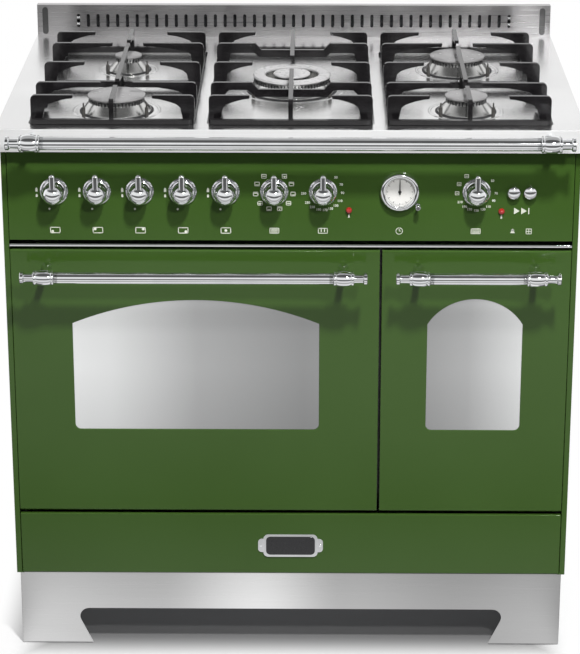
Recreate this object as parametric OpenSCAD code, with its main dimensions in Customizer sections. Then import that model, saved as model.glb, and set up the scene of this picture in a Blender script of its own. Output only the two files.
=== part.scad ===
// Dual fuel range cooker: gas hob over a wide and a narrow electric oven, with a storage drawer.
// The origin is on the floor, at the middle of the footprint. X runs to the right, Y to the wall.

/* [Front, from the floor up] */
// Height of the steel plinth
plinth_h = 131; // [110:1:160]
// Height of the storage drawer's front
drawer_h = 105; // [90:1:130]
// Height of both oven doors
door_h = 443; // [420:1:480]
// Height of the gap that holds the polished trim strip
trim_row = 16; // [14:1:24]
// Height of the control panel below the hob's lip
fascia_h = 146; // [130:1:170]
// Height of the hob's front lip
lip_h = 36; // [30:1:45]
// Gap between the drawer's front and the doors
row_gap = 6; // [6:0.5:10]

/* [Widths and depths] */
// Width of the hob top
hob_w = 900; // [895:1:960]
// Width over the side panels
body_w = 890; // [880:1:894]
// Width of the left oven door
main_door_w = 574; // [560:1:590]
// Gap between the two doors
door_split = 4; // [3:0.5:8]
// Depth of the hob top, from its front edge to the wall
hob_d = 600; // [590:1:640]
// How far the doors stand behind the hob's front edge
lip_over = 6; // [4:1:12]
// Thickness of a door
door_t = 36; // [34:1:44]
// Thickness of the folded sheets
sheet = 2; // [1.5:0.1:2.5]

/* [Ovens] */
// Width of the left oven's cavity
main_cavity_w = 460; // [420:1:470]
// Width of the right oven's cavity
small_cavity_w = 215; // [190:1:225]
// Height of both cavities
cavity_h = 340; // [300:1:345]
// Depth of both cavities
cavity_d = 410; // [380:1:430]
// Height of the cavity floor above the door's lower edge
cavity_up = 56; // [50:1:64]
// Number of blades on the convection fan
fan_blades = 12; // [6:1:16]
// Number of long wires in the wide shelf
shelf_wires = 11; // [5:1:15]

/* [Doors] */
// Width of the left window
main_window_w = 387; // [340:1:400]
// Width of the right window
small_window_w = 149; // [120:1:160]
// Height of both windows at their sides
window_side_h = 180; // [150:1:190]
// Rise of the left window's arch
main_rise = 39; // [25:1:50]
// Rise of the right window's arch
small_rise = 42; // [25:1:50]
// Height of both windows above the door's lower edge
window_up = 141; // [120:1:150]
// Distance of the handle's axis below the door's top edge
handle_drop = 29; // [26:1:40]
// Distance of the handle's axis in front of the door
handle_out = 50; // [44:1:52]
// Radius of the handle's tube
handle_r = 9; // [8:0.5:10]
// Distance of the hinge axis above the door's lower edge
hinge_up = 11; // [10.5:0.1:11.5]
// Distance of the hinge axis behind the door's face
hinge_in = 12; // [11.5:0.1:12.5]
// Radius of a hinge pin
pin_r = 4; // [3:0.5:5]

/* [Hob] */
// Height of the splashback
splash_h = 56; // [50:1:90]
// Thickness of the splashback from front to back
splash_t = 14; // [10:1:20]
// Number of slots in the splashback
slot_count = 45; // [21:2:47]
// Distance from one slot to the next
slot_pitch = 17.1; // [14:0.1:18]
// Width of a slot
slot_w = 5.6; // [4:0.1:7]
// Height of a slot
slot_h = 23.5; // [18:0.5:30]
// Distance of the rail's axis in front of the hob
rail_out = 46; // [40:1:60]
// Radius of the rail's tube
rail_r = 10; // [8:0.5:11]
// Width of a pan support
grate_w = 252; // [240:1:256]
// Length of a pan support
grate_l = 466; // [440:1:470]
// Distance between the middles of neighbouring pan supports
grate_pitch = 274; // [272:1:285]
// Distance of the pan supports' middle behind the hob's front edge
grate_back = 250; // [248:1:262]
// Height of the pan supports' tops above the hob
grate_top = 40; // [36:1:50]
// Thickness of a pan support's fingers
finger_t = 7; // [5:0.5:8]
// Distance of the outer fingers from the pan support's middle
outer_row = 205; // [195:1:210]
// Distance of the burner fingers from the pan support's middle
burner_row = 127; // [120:1:132]
// Depth of the wells pressed into the hob
well_depth = 6; // [4:0.5:8]
// Height of the burner caps' rims above the hob
cap_z = 17; // [14:0.5:20]

/* [Controls] */
// Height of the knobs above the control panel's lower edge
knob_up = 79.5; // [70:0.5:90]
// Distance of the first gas knob left of the middle
first_knob = 364; // [350:1:370]
// Distance between neighbouring gas knobs
knob_pitch = 66; // [60:1:68]
// Radius of a knob's round body
knob_r = 14.5; // [13:0.5:16]
// Distance of a knob's face in front of the panel
knob_out = 35; // [30:1:38]
// Radius that a knob's lever reaches
lever_reach = 34; // [28:1:36]
// Radius of the discs behind the knobs
bezel_r = 21.8; // [19:0.2:24]
// Travel of a gas knob when it is pressed
press = 4; // [2:0.5:5]
// Radius of the clock's rim
clock_r = 31; // [28:0.5:34]
// Radius of a push button
button_r = 10.2; // [8:0.1:11]

/* [Drawer] */
// Depth of the drawer box
drawer_d = 450; // [400:1:470]
// Height of the drawer box
drawer_box_h = 78; // [60:1:84]

/* [Hidden] */
$fn = 48;

// Colours as they look on the real cooker
green = [0.15, 0.26, 0.09];
steel = [0.75, 0.75, 0.74];
chrome = [0.85, 0.86, 0.87];
black = [0.09, 0.09, 0.10];
iron = [0.13, 0.13, 0.14];
zinc = [0.62, 0.64, 0.66];
glass = [0.62, 0.64, 0.65];
alloy = [0.70, 0.70, 0.69];

// Clearances
touch = 0.3;        // between surfaces that would rub
running = 0.05;     // round a pin or a spindle in its bore
door_side = 1;      // between a door and the side panel's front strip
plinth_in = 5;      // plinth inside the body's sides
plinth_set = 8;     // plinth behind the doors' faces
seal_nip = 0.3;     // between an oven seal and its door

// Heights
foot_gap = 2;
drawer_z = plinth_h + foot_gap;
drawer_top = drawer_z + drawer_h;
door_z = drawer_top + row_gap;
door_top = door_z + door_h;
fascia_z = door_top + trim_row;
hob_z = fascia_z + fascia_h + lip_h;
cavity_z = door_z + cavity_up;
cavity_top = cavity_z + cavity_h;
knob_z = fascia_z + knob_up;
well_z = hob_z - well_depth;
under_hob = hob_z - sheet;

// Depths: the front rail and the wall are equally far from the middle
rail_barrel_r = rail_r + 4;
rail_reach = rail_out + rail_barrel_r;
hob_front = -(hob_d + rail_reach) / 2 + rail_reach;
wall_y = hob_front + hob_d;
door_face = hob_front + lip_over;
door_back = door_face + door_t;
frame_y = door_back + 6;
cavity_y = frame_y + sheet;
cavity_back = cavity_y + cavity_d;
side_back = wall_y - 12;
hinge_y = door_face + hinge_in;
hinge_z = door_z + hinge_up;

// Widths
strip_w = 8.5;
door_x = body_w / 2 - strip_w - door_side;
main_x = [-door_x, -door_x + main_door_w];
small_x = [-door_x + main_door_w + door_split, door_x];
main_mid = (main_x[0] + main_x[1]) / 2;
small_mid = (small_x[0] + small_x[1]) / 2;
inner_x = body_w / 2 - sheet;

// Controls, by their distance from the middle. They keep their share of the body's width.
share = body_w / 890;
knob_x = share * [for (x = concat([for (i = [0:4]) i * knob_pitch - first_knob], [-25, 50, 286])) x];
clock_x = share * 168;
clock_z = knob_z + 1;
stem_at = [clock_x + 0.9 * clock_r, clock_z - 0.7 * clock_r - 1];
button_x = share * [343, 368];
lamp_at = [[knob_x[6] + 40, knob_z - 30], [knob_x[7] + 39, knob_z - 31]];
spindle_r = 4;

// Burners: [distance from the middle, distance behind the hob's edge, skirt radius, cap radius, ports]
grate_y = hob_front + grate_back;
grate_x = [-grate_pitch, 0, grate_pitch];
rapid = [55, 46, 24];
medium = [45, 34, 18];
small = [35, 23, 12];
burner_at = [
    [grate_x[0], grate_y - burner_row, rapid],
    [grate_x[0], grate_y + burner_row, small],
    [grate_x[2], grate_y + burner_row, rapid],
    [grate_x[2], grate_y - burner_row, medium]
];
wok_skirt = 70;
wok_ring = [43, 63];
wok_cap = 30;
cup_r = 22;
cup_h = 34;
crown_wall = 5;
well_w = grate_w + 4;
well_l = grate_l + 4;

function arc(x, y, r, a0, a1, n) =
    [for (i = [0:n]) [x + r * cos(a0 + (a1 - a0) * i / n), y + r * sin(a0 + (a1 - a0) * i / n)]];
function rounded(w, h, r, n = 6) = concat(
    arc(w / 2 - r, h / 2 - r, r, 0, 90, n), arc(r - w / 2, h / 2 - r, r, 90, 180, n),
    arc(r - w / 2, r - h / 2, r, 180, 270, n), arc(w / 2 - r, r - h / 2, r, 270, 360, n));

// A box between a low and a high value on each axis
module slab(x, y, z)
    translate([x[0], y[0], z[0]]) cube([x[1] - x[0], y[1] - y[0], z[1] - z[0]]);

// Round bars along each axis
module bar_x(x, y, z, r) translate([x[0], y, z]) rotate([0, 90, 0]) cylinder(h = x[1] - x[0], r = r);
module bar_y(x, y, z, r) translate([x, y[0], z]) rotate([-90, 0, 0]) cylinder(h = y[1] - y[0], r = r);
module bar_z(x, y, z, r) translate([x, y, z[0]]) cylinder(h = z[1] - z[0], r = r);

// A flat outline in X and Z, stood up and made thick from y to y + t
module standing(y, t) translate([0, y + t, 0]) rotate([90, 0, 0]) linear_extrude(height = t) children();

// A turned shape, given as radius against length, with its length towards the front
module turned_front(x, y, z) translate([x, y, z]) rotate([90, 0, 0]) rotate_extrude() children();

// The folded outer panels

module side_panel(side) {
    front_y = door_face + 2;
    edge = [body_w / 2 - sheet, body_w / 2];
    fold = 18;
    mirror([side < 0 ? 1 : 0, 0, 0]) {
        slab(edge, [front_y, side_back], [plinth_h, under_hob]);
        slab([body_w / 2 - strip_w, body_w / 2], [front_y, front_y + sheet], [plinth_h, under_hob]);
        slab([body_w / 2 - fold, body_w / 2], [side_back - sheet, side_back], [plinth_h, under_hob]);
        slab([body_w / 2 - fold + 6, body_w / 2], [front_y, side_back], [plinth_h, plinth_h + sheet]);
    }
}
module side_panels() color(green) {
    side_panel(-1);
    side_panel(1);
}

gas_in = [-415, knob_z];
gas_thread_r = 10.48;
gas_pipe_r = 7;
cable_in = [380, 250];
cable_hole_r = 10.2;
back_plate_y = side_back - 2 * sheet;
module back_panel() color(zinc) {
    louvre_w = 90;
    difference() {
        slab([-inner_x + touch, inner_x - touch], [back_plate_y, back_plate_y + sheet],
            [plinth_h + sheet, under_hob]);
        for (col = [-3:3], row = [0:5])
            translate([col * 118 - louvre_w / 2, back_plate_y - 1, hob_z - 75 - row * 22])
                cube([louvre_w, sheet + 2, 5]);
        bar_y(gas_in[0], [back_plate_y - 1, side_back], gas_in[1], gas_pipe_r + 2);
        bar_y(cable_in[0], [back_plate_y - 1, side_back], cable_in[1], cable_hole_r);
    }
}

runner_x = [inner_x - 20, inner_x - 12];
runner_z = drawer_z + 30;
runner_h = 24;
runner_y = [cavity_y + 10, cavity_y + drawer_d + 20];
runner_post = 25;
module base_panel() color(zinc) {
    front_y = door_face + 24;
    slab([-inner_x + touch, inner_x - touch], [front_y, back_plate_y], [plinth_h - sheet, plinth_h]);
    for (s = [0, 1]) mirror([s, 0, 0]) {
        slab(runner_x, runner_y, [runner_z, runner_z + runner_h]);
        for (y = [runner_y[0] + runner_post, runner_y[1] - 2 * runner_post])
            slab(runner_x, [y, y + runner_post], [plinth_h, runner_z]);
    }
}

// Feet, each with a leg, a threaded stem and a pad
foot_in = 45;
foot_r = [24, 6, 15];
foot_z = [0, 9, 40, plinth_h - sheet];
foot_at = [
    for (x = [foot_in - body_w / 2, body_w / 2 - foot_in])
        for (y = [door_back + 13, side_back - 35]) [x, y]
];
module levelling_feet() color(black)
    for (p = foot_at, i = [0:2]) bar_z(p[0], p[1], [foot_z[i], foot_z[i + 1]], foot_r[i]);

// Plinth, cut out below with sides that lean inwards to the floor
module plinth() color(steel) {
    w = body_w - 2 * plinth_in;
    y = door_face + plinth_set;
    top = plinth_h - sheet;
    arch_top = 64;
    arch_half = 345;
    arch_floor = 323;
    corner = 15;
    slope = 112;
    difference() {
        union() {
            slab([-w / 2, w / 2], [y, y + sheet], [foot_gap, top]);
            for (x = [-w / 2, w / 2 - sheet]) slab([x, x + sheet], [y, side_back - 60], [foot_gap, top]);
            slab([-w / 2, w / 2], [y, y + 14], [top - sheet, top]);
        }
        standing(y - 1, sheet + 2) polygon(concat(
            [[-arch_floor, -1], [arch_floor, -1]],
            arc(arch_half - corner, arch_top - corner, corner, slope - 134, 90, 8),
            arc(corner - arch_half, arch_top - corner, corner, 90, 314 - slope, 8)));
    }
}

// Control panel with its holes
module control_panel() color(green) {
    top = under_hob - 3;
    fold = frame_y - door_face;
    hole_y = [door_face - 1, door_face + sheet + 1];
    difference() {
        union() {
            slab([-door_x, door_x], [door_face, door_face + sheet], [fascia_z, top]);
            slab([-door_x, door_x], [door_face, door_face + fold], [fascia_z, fascia_z + sheet]);
        }
        for (x = knob_x) bar_y(x, hole_y, knob_z, 8);
        for (x = button_x) bar_y(x, hole_y, knob_z, 6.5);
        for (p = lamp_at) bar_y(p[0], hole_y, p[1], 4.3);
        bar_y(clock_x, hole_y, clock_z, 22);
        bar_y(stem_at[0], hole_y, stem_at[1], 3.5);
    }
}

// Polished strip between the control panel and the doors
module trim_strip() color(chrome) {
    mid = fascia_z - 0.5 * trim_row;
    slab([-door_x, door_x], [door_face - 2, door_face + 8], [mid - 2, mid + 2]);
    slab([-door_x, door_x], [door_face + 8, frame_y], [mid - 1, mid + 1]);
}

ear_r = 8.5;
ear_t = 5;
hinge_in_x = 20;
hinge_x = concat(hinge_at(main_x), hinge_at(small_x));

// Black frame behind the doors, with an ear for each hinge pin
module front_frame() color(black) {
    top = fascia_z + 14;
    drawer_hole = [plinth_h + 8, drawer_top - 8];
    difference() {
        slab([-inner_x, inner_x], [frame_y, frame_y + sheet], [plinth_h + sheet, top]);
        slab([main_mid - main_cavity_w / 2, main_mid + main_cavity_w / 2],
            [frame_y - 1, frame_y + sheet + 1], [cavity_z, cavity_top]);
        slab([small_mid - small_cavity_w / 2, small_mid + small_cavity_w / 2],
            [frame_y - 1, frame_y + sheet + 1], [cavity_z, cavity_top]);
        slab([-inner_x + 16, inner_x - 16], [frame_y - 1, frame_y + sheet + 1], drawer_hole);
    }
    for (x = hinge_x)
        difference() {
            union() {
                bar_x([x - ear_t / 2, x + ear_t / 2], hinge_y, hinge_z, ear_r);
                slab([x - ear_t / 2, x + ear_t / 2], [hinge_y, frame_y], [hinge_z - 6, hinge_z + 6]);
            }
            bar_x([x - ear_t, x + ear_t], hinge_y, hinge_z, pin_r + running);
        }
}

// Hob, splashback and rail

module hob_top() color(steel) {
    difference() {
        union() {
            slab([-hob_w / 2, hob_w / 2], [hob_front, wall_y], [under_hob, hob_z]);
            slab([-hob_w / 2, hob_w / 2], [hob_front, hob_front + sheet], [hob_z - lip_h, hob_z]);
            for (x = [-hob_w / 2, hob_w / 2 - sheet])
                slab([x, x + sheet], [hob_front, wall_y], [hob_z - lip_h, hob_z]);
            for (x = grate_x) translate([x, grate_y, well_z])
                linear_extrude(height = well_depth - sheet / 2)
                    polygon(rounded(well_w + 2 * sheet, well_l + 2 * sheet, 16));
        }
        for (x = grate_x) translate([x, grate_y, well_z - sheet - 1])
            linear_extrude(height = well_depth + sheet + 2) polygon(rounded(well_w, well_l, 14));
    }
    for (x = grate_x) well_floor(x);
}

// A flat floor with its burners' holes, lying under the folds of a well with a hairline seam
module well_floor(x) difference() {
    translate([x, grate_y, well_z - sheet]) linear_extrude(height = sheet - running)
        polygon(rounded(well_w + 2 * sheet, well_l + 2 * sheet, 16));
    for (h = hob_holes) if (abs(h[0] - x) < 1) bar_z(h[0], h[1], [well_z - 5, hob_z], h[2]);
}
hob_holes = concat([for (b = burner_at) [b[0], b[1], cup_r + 3]], [[0, grate_y, cup_r + 12]]);

// Slotted splashback, folded back to the wall at the top and the ends
module splashback() color(steel) {
    y = wall_y - splash_t;
    x = hob_w / 2 - 2;
    bead_x = x - 14;
    top = hob_z + splash_h;
    slot_z = hob_z + splash_h / 2;
    difference() {
        union() {
            slab([-x, x], [y, y + sheet], [hob_z, top]);
            slab([-x, x], [y, wall_y], [top - sheet, top]);
            for (s = [-x, x - sheet]) slab([s, s + sheet], [y, wall_y], [hob_z, top]);
            for (s = [-bead_x, bead_x]) translate([s, 0, slot_z])
                standing(y - 1.5, 2) polygon(rounded(10, splash_h - 8, 5));
        }
        for (i = [0:slot_count - 1])
            translate([(i - (slot_count - 1) / 2) * slot_pitch, 0, slot_z])
                standing(y - 1, sheet + 2) polygon(rounded(slot_w, slot_h, slot_w / 2 - 0.01, 4));
    }
}

// A turned end fitting of a rail, seen along the bar: end flange, neck, collar, barrel, collar.
// k scales the lengths and radii of the fitting, and the tube's radius is r.
module end_fitting(r, k)
    rotate([0, 90, 0]) rotate_extrude() polygon(concat(
        [[0, 0], [r + k * 0.6, 0], [r + k, k * 0.6]],
        arc(r, 4 * k, k, 0, 90, 3),
        [[r - 0.1, 5 * k], [r - 0.1, 14 * k]],
        arc(r + 0.4 * k, 16 * k, 1.6 * k, -60, 60, 4),
        arc(r - 4 * k, 26 * k, 8 * k, -58, 58, 8),
        arc(r + 0.4 * k, 36 * k, 1.6 * k, -60, 60, 4),
        [[r - 0.1, 38 * k], [0, 38 * k]]));

// A round bar on two posts that stand out from a face. x is the bar's ends, y the axis, face the face.
module rail(x, y, z, face, r, k, post_r) {
    bar_x([x[0] + 10 * k, x[1] - 10 * k], y, z, r);
    for (s = [0, 1]) {
        post_x = s == 0 ? x[0] + 26 * k : x[1] - 26 * k;
        translate([s == 0 ? x[0] : x[1], y, z]) mirror([s, 0, 0]) end_fitting(r, k);
        bar_y(post_x, [y, face], z, post_r);
        bar_y(post_x, [face - 5, face], z, post_r + 2.5);
    }
}

rail_half = 430;
module hob_rail() color(chrome)
    rail([-rail_half, rail_half], hob_front - rail_out, hob_z - 11.5, hob_front, rail_r, 1, 6.5);

handle_inset = 20;
module door_handle(x) color(chrome)
    rail([x[0] + handle_inset, x[1] - handle_inset], door_face - handle_out, door_top - handle_drop,
        door_face, handle_r, 0.85, 6);
module main_door_handle() door_handle(main_x);
module small_door_handle() door_handle(small_x);

// Ovens

module liner(mid, w) color(black) {
    x = [mid - w / 2, mid + w / 2];
    difference() {
        slab([x[0] - sheet, x[1] + sheet], [cavity_y, cavity_back + sheet],
            [cavity_z - sheet, cavity_top + sheet]);
        slab(x, [cavity_y - 1, cavity_back], [cavity_z, cavity_top]);
        if (w == main_cavity_w) bar_y(mid, [cavity_back - 1, cavity_back + sheet + 1], fan_z, 6);
    }
}
fan_z = cavity_z + cavity_h * 0.5;
module main_oven_liner() liner(main_mid, main_cavity_w);
module small_oven_liner() liner(small_mid, small_cavity_w);

seal_w = 9;
module seal(mid, w) translate([mid, 0, cavity_z + cavity_h / 2])
    standing(door_back + seal_nip, frame_y - door_back - seal_nip) difference() {
        polygon(rounded(w + 2 * seal_w + 8, cavity_h + 2 * seal_w + 8, 20));
        polygon(rounded(w + 8, cavity_h + 8, 12));
    }
module oven_seals() color(iron) {
    seal(main_mid, main_cavity_w);
    seal(small_mid, small_cavity_w);
}

// Wire ladders on the cavity walls, and the shelves that lie on their rungs
wire_r = 2.5;
ladder_in = 9;
rung_z = [for (i = [1:4]) cavity_z + i * cavity_h / 5.2];
ladder_y = [cavity_y + 25, cavity_back - 50];
module ladder(x) {
    $fn = 12;
    for (y = ladder_y) bar_z(x, y, [cavity_z, cavity_top], wire_r);
    for (z = rung_z, dz = [0, 13]) bar_y(x, [ladder_y[0], ladder_y[1]], z + dz, wire_r * 0.8);
}
module side_racks() color(chrome)
    for (c = [[main_mid, main_cavity_w], [small_mid, small_cavity_w]], s = [-1, 1])
        ladder(c[0] + s * (c[1] / 2 - ladder_in));

shelf_r = 3.2;
module wire_shelf(mid, w, wires) {
    $fn = 12;
    half = w / 2 - ladder_in;
    y = [cavity_y + 34, cavity_back - 60];
    z = rung_z[1] + wire_r * 0.8 + shelf_r;
    for (s = [-1, 1]) bar_y(mid + s * (half - 1), y, z, shelf_r);
    for (py = [y[0] + shelf_r, y[1] - shelf_r]) bar_x([mid - half + 1, mid + half - 1], py, z, shelf_r);
    for (i = [1:wires])
        bar_y(mid - half + 1 + i * 2 * (half - 1) / (wires + 1), [y[0] + 1, y[1] - 1], z, 1.5);
}
module wire_shelves() color(chrome) {
    wire_shelf(main_mid, main_cavity_w, shelf_wires);
    wire_shelf(small_mid, small_cavity_w, round(shelf_wires / 2));
}

// Convection fan: wheel in front of the rear wall, cover round it, motor behind the wall
fan_r = 0.2 * cavity_h;
cover_y = cavity_back - 32;
cover = [2 * fan_r + 80, 2 * fan_r + 50];
motor_r = 30;
motor_l = 46;
module fan_cover() color(black) translate([main_mid, 0, fan_z]) difference() {
    standing(cover_y, cavity_back - cover_y) polygon(rounded(cover[0], cover[1], 24));
    standing(cover_y + sheet, cavity_back - cover_y)
        polygon(rounded(cover[0] - 2 * sheet, cover[1] - 2 * sheet, 22));
    for (a = [0:30:330]) rotate([0, a, 0]) translate([0.55 * fan_r, cover_y - 1, 0])
        rotate([-90, 0, 0]) cylinder(h = sheet + 2, r = 0.1 * fan_r);
    for (a = [15:30:345]) rotate([0, a, 0]) translate([0.26 * fan_r, cover_y - 1, 0])
        rotate([-90, 0, 0]) cylinder(h = sheet + 2, r = 0.04 * fan_r);
}
module fan_wheel() color(zinc) translate([main_mid, 0, fan_z]) {
    y = cover_y + 8;
    translate([0, y + 16, 0]) rotate([90, 0, 0]) cylinder(h = 16, r = 9);
    translate([0, y + 16, 0]) rotate([90, 0, 0]) cylinder(h = 2, r = fan_r - 6);
    for (i = [0:fan_blades - 1]) rotate([0, i * 360 / fan_blades, 0])
        slab([26, fan_r], [y, y + 15], [-1, 1]);
    translate([0, cavity_back + 14, 0]) rotate([90, 0, 0]) cylinder(h = 26, r = 4);
}
module fan_motor() color(zinc) translate([main_mid, 0, fan_z]) difference() {
    union() {
        standing(cavity_back + sheet, 2 * sheet) polygon(rounded(3 * motor_r, 2.3 * motor_r, 10));
        translate([0, cavity_back + motor_l + 4, 0]) rotate([90, 0, 0]) cylinder(h = motor_l, r = motor_r);
    }
    translate([0, cavity_back + 20, 0]) rotate([90, 0, 0]) cylinder(h = 40, r = 4 + running);
}

// Grill element: a tube that runs to and fro under the cavity's roof
module element(mid, half, legs) {
    r = 3.5;
    z = cavity_top - 20;
    y = [cavity_y + 60, cavity_back];
    step = 2 * half / (legs - 1);
    bend = step / 2;
    for (i = [0:legs - 1]) {
        front = y[0] + bend;
        back = (i == 0 || i == legs - 1) ? y[1] : y[1] - 70;
        bar_y(mid - half + i * step, [front, back], z, r);
    }
    for (i = [0:legs - 2]) {
        at_front = i % 2 == 0;
        translate([mid - half + (i + 0.5) * step, at_front ? y[0] + bend : y[1] - 70, z])
            rotate([0, 0, at_front ? 180 : 0]) rotate_extrude(angle = 180)
                translate([bend, 0]) circle(r = r);
    }
}
module grill_elements() color(iron) {
    element(main_mid, 150, 4);
    element(small_mid, 60, 2);
}

// Burners

// A crown with flame ports below the cap's rim, on a cup that hangs through the hob
module crown(skirt, cap, ports) {
    top = cap_z - well_z + hob_z;
    ring = cap - 2.5;
    difference() {
        rotate_extrude() polygon([
            [0, -cup_h], [cup_r, -cup_h], [cup_r, 0], [skirt, 0], [skirt, 2],
            [skirt - 2, 3.5], [ring, top - 7], [ring, top], [ring - crown_wall, top],
            [ring - crown_wall, 6], [0, 6]]);
        for (i = [0:ports / 2 - 1]) rotate([0, 0, i * 360 / ports])
            translate([-cap, -1, top - 4.5]) cube([2 * cap, 2, 5]);
    }
}
module burner_bodies() color(alloy) {
    for (b = burner_at) translate([b[0], b[1], well_z]) crown(b[2][0], b[2][1], b[2][2]);
    translate([0, grate_y, well_z]) wok_crown();
}
module wok_crown() {
    top = cap_z - well_z + hob_z;
    difference() {
        rotate_extrude() polygon([
            [0, -cup_h], [cup_r + 8, -cup_h], [cup_r + 8, 0], [wok_skirt, 0], [wok_skirt, 2],
            [wok_skirt - 2, 3.5], [wok_ring[1] - 2, top - 7], [wok_ring[1] - 2, top],
            [wok_ring[0] + 2, top], [wok_ring[0] + 2, 8], [wok_cap - 2, 8], [wok_cap - 2, top + 2],
            [wok_cap - 7, top + 2], [wok_cap - 7, 6], [0, 6]]);
        for (i = [0:11]) rotate([0, 0, i * 15])
            translate([-80, -1, top - 4.5]) cube([160, 2, 8]);
    }
}

// Domed caps that lie on the crowns
module cap_disc(r, crest) rotate_extrude() polygon(concat(
    [[0, 0], [r - 1, 0], [r, 1.2], [r - 0.6, 3]],
    [for (i = [1:6]) [(r - 0.6) * cos(i * 15), 3 + crest * sin(i * 15)]]));
module burner_caps() color(iron) {
    for (b = burner_at) translate([b[0], b[1], hob_z + cap_z]) cap_disc(b[2][1], 2.5);
    translate([0, grate_y, hob_z + cap_z]) rotate_extrude() polygon([
        [wok_ring[0], 0], [wok_ring[1] - 1, 0], [wok_ring[1], 1.5], [wok_ring[1] - 2, 4],
        [wok_ring[0] + 2, 4.5], [wok_ring[0], 3]]);
    translate([0, grate_y, hob_z + cap_z + 2]) cap_disc(wok_cap, 2.5);
}

// A spark electrode and a flame sensor beside each burner
module igniters() color("white")
    for (b = concat(burner_at, [[0, grate_y, [wok_skirt]]]), a = [215, 325]) {
        r = b[2][0] + 5;
        p = [b[0] + r * cos(a), b[1] + r * sin(a)];
        bar_z(p[0], p[1], [well_z, hob_z + 8], 3);
        bar_z(p[0], p[1], [hob_z + 8, hob_z + cap_z - 2], 1.2);
    }

// Gas rail with a tap behind each gas knob, fed by a pipe from the rear
tap_y = [door_face + sheet + 6, door_face + 62];
module gas_rail() color("goldenrod") {
    pipe_y = tap_y[1];
    difference() {
        union() {
            bar_x([gas_in[0], knob_x[4] + 25], pipe_y, knob_z, 8);
            for (i = [0:4]) bar_y(knob_x[i], [tap_y[0], pipe_y], knob_z, 12);
        }
        for (i = [0:4]) bar_y(knob_x[i], [tap_y[0] - 1, tap_y[0] + 31], knob_z, spindle_r + running);
    }
    for (i = [0, 3]) translate([(knob_x[i] + knob_x[i + 1]) / 2, 0, knob_z])
        slab([-2, 2], [door_face + sheet, pipe_y], [-8, 6]);
    bar_y(gas_in[0], [pipe_y, side_back + 1], gas_in[1], gas_pipe_r);
    bar_y(gas_in[0], [side_back + 0.5, wall_y - 0.5], gas_in[1], gas_thread_r);
}

// Boxes behind the electric knobs, the clock and the buttons
switch_y = [door_face + sheet, door_face + 50];
switch_half = [17, 22];
push_half = [12, 14];
module oven_switches() color(black) {
    for (i = [5:7]) difference() {
        slab([knob_x[i] - switch_half[0], knob_x[i] + switch_half[0]], switch_y,
            [knob_z - switch_half[1], knob_z + switch_half[1]]);
        bar_y(knob_x[i], [switch_y[0] - 1, switch_y[0] + 30], knob_z, spindle_r + running);
    }
    difference() {
        slab([button_x[0] - push_half[0], button_x[1] + push_half[0]], switch_y,
            [knob_z - push_half[1], knob_z + push_half[1]]);
        for (x = button_x) bar_y(x, [switch_y[0] - 1, switch_y[0] + 20], knob_z, 5 + touch);
    }
}

// Clock: turned rim and dial in one case, with its works behind the panel
dial_y = door_face - 4;
module clock_case() color(chrome) {
    difference() {
        union() {
            turned_front(clock_x, door_face, clock_z) polygon(concat(
                [[0, 0], [clock_r, 0], [clock_r, 2]],
                arc(clock_r - 5, 6, 4, 20, 130, 6),
                [[clock_r - 8.5, 4], [clock_r - 8.5, 3], [0, 3]]));
            bar_y(clock_x, [door_face, door_face + 30], clock_z, 21);
        }
        bar_y(clock_x, [dial_y, dial_y + 2], clock_z, 2 + running);
        bar_y(clock_x, [dial_y, dial_y + 5], clock_z, 1 + running);
    }
    difference() {
        slab([stem_at[0] - 6, stem_at[0] + 6], [door_face + sheet, door_face + 20],
            [stem_at[1] - 6, stem_at[1] + 6]);
        bar_y(stem_at[0], [door_face, door_face + 16], stem_at[1], 2 + running);
    }
}
module clock_dial() color("white") difference() {
    bar_y(clock_x, [dial_y, dial_y + 1], clock_z, clock_r - 8.6);
    bar_y(clock_x, [dial_y - 1, dial_y + 2], clock_z, 2 + running);
}
module hand(y, length, width, axle) {
    translate([clock_x, 0, clock_z]) standing(y, 0.6)
        polygon([[-width / 2, -4], [width / 2, -4], [width / 4, length], [-width / 4, length]]);
    bar_y(clock_x, [y, y + 0.6], clock_z, width);
    bar_y(clock_x, [y, dial_y + axle[0]], clock_z, axle[1]);
}
module hour_hand() color(black) difference() {
    hand(dial_y - 1.1, 13, 2.4, [1.7, 2]);
    bar_y(clock_x, [dial_y - 2, dial_y + 3], clock_z, 1 + running);
}
module minute_hand() color(black) hand(dial_y - 2, 19, 1.8, [4.5, 1]);
module clock_stem() color(chrome) {
    turned_front(stem_at[0], door_face - 1, stem_at[1])
        polygon([[0, 0], [3.6, 0], [3.6, 2], [2.2, 3], [2.2, 8], [4, 9.5], [4, 15], [3, 16], [0, 16]]);
    bar_y(stem_at[0], [door_face - 1, door_face + 14], stem_at[1], 2);
}

// Domed lenses in the panel
module indicator_lamps() color("red")
    for (p = lamp_at) {
        turned_front(p[0], door_face, p[1]) polygon(concat([[0, 0], [5, 0]], arc(0, 1, 5, 0, 90, 6)));
        bar_y(p[0], [door_face, door_face + 18], p[1], 4);
    }

// Dished discs behind the knobs
module knob_bezels() color(chrome)
    for (x = knob_x) turned_front(x, door_face, knob_z) polygon([
        [knob_r + 1.2, 0], [bezel_r, 0], [bezel_r, 2.5], [bezel_r - 2, 4.5], [bezel_r - 4.5, 3],
        [knob_r + 1.2, 4]]);

// A push button with a domed head, on a stem
button_travel = 3;
module button(x) color(chrome) {
    turned_front(x, door_face - button_travel - 1, knob_z) polygon(concat(
        [[0, 0], [button_r, 0], [button_r, 2]],
        [for (i = [1:6]) [button_r * cos(i * 15), 2 + 5 * sin(i * 15)]]));
    bar_y(x, [door_face - button_travel - 1, switch_y[0] + 12], knob_z, 5);
}
module button_left() button(button_x[0]);
module button_right() button(button_x[1]);

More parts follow.
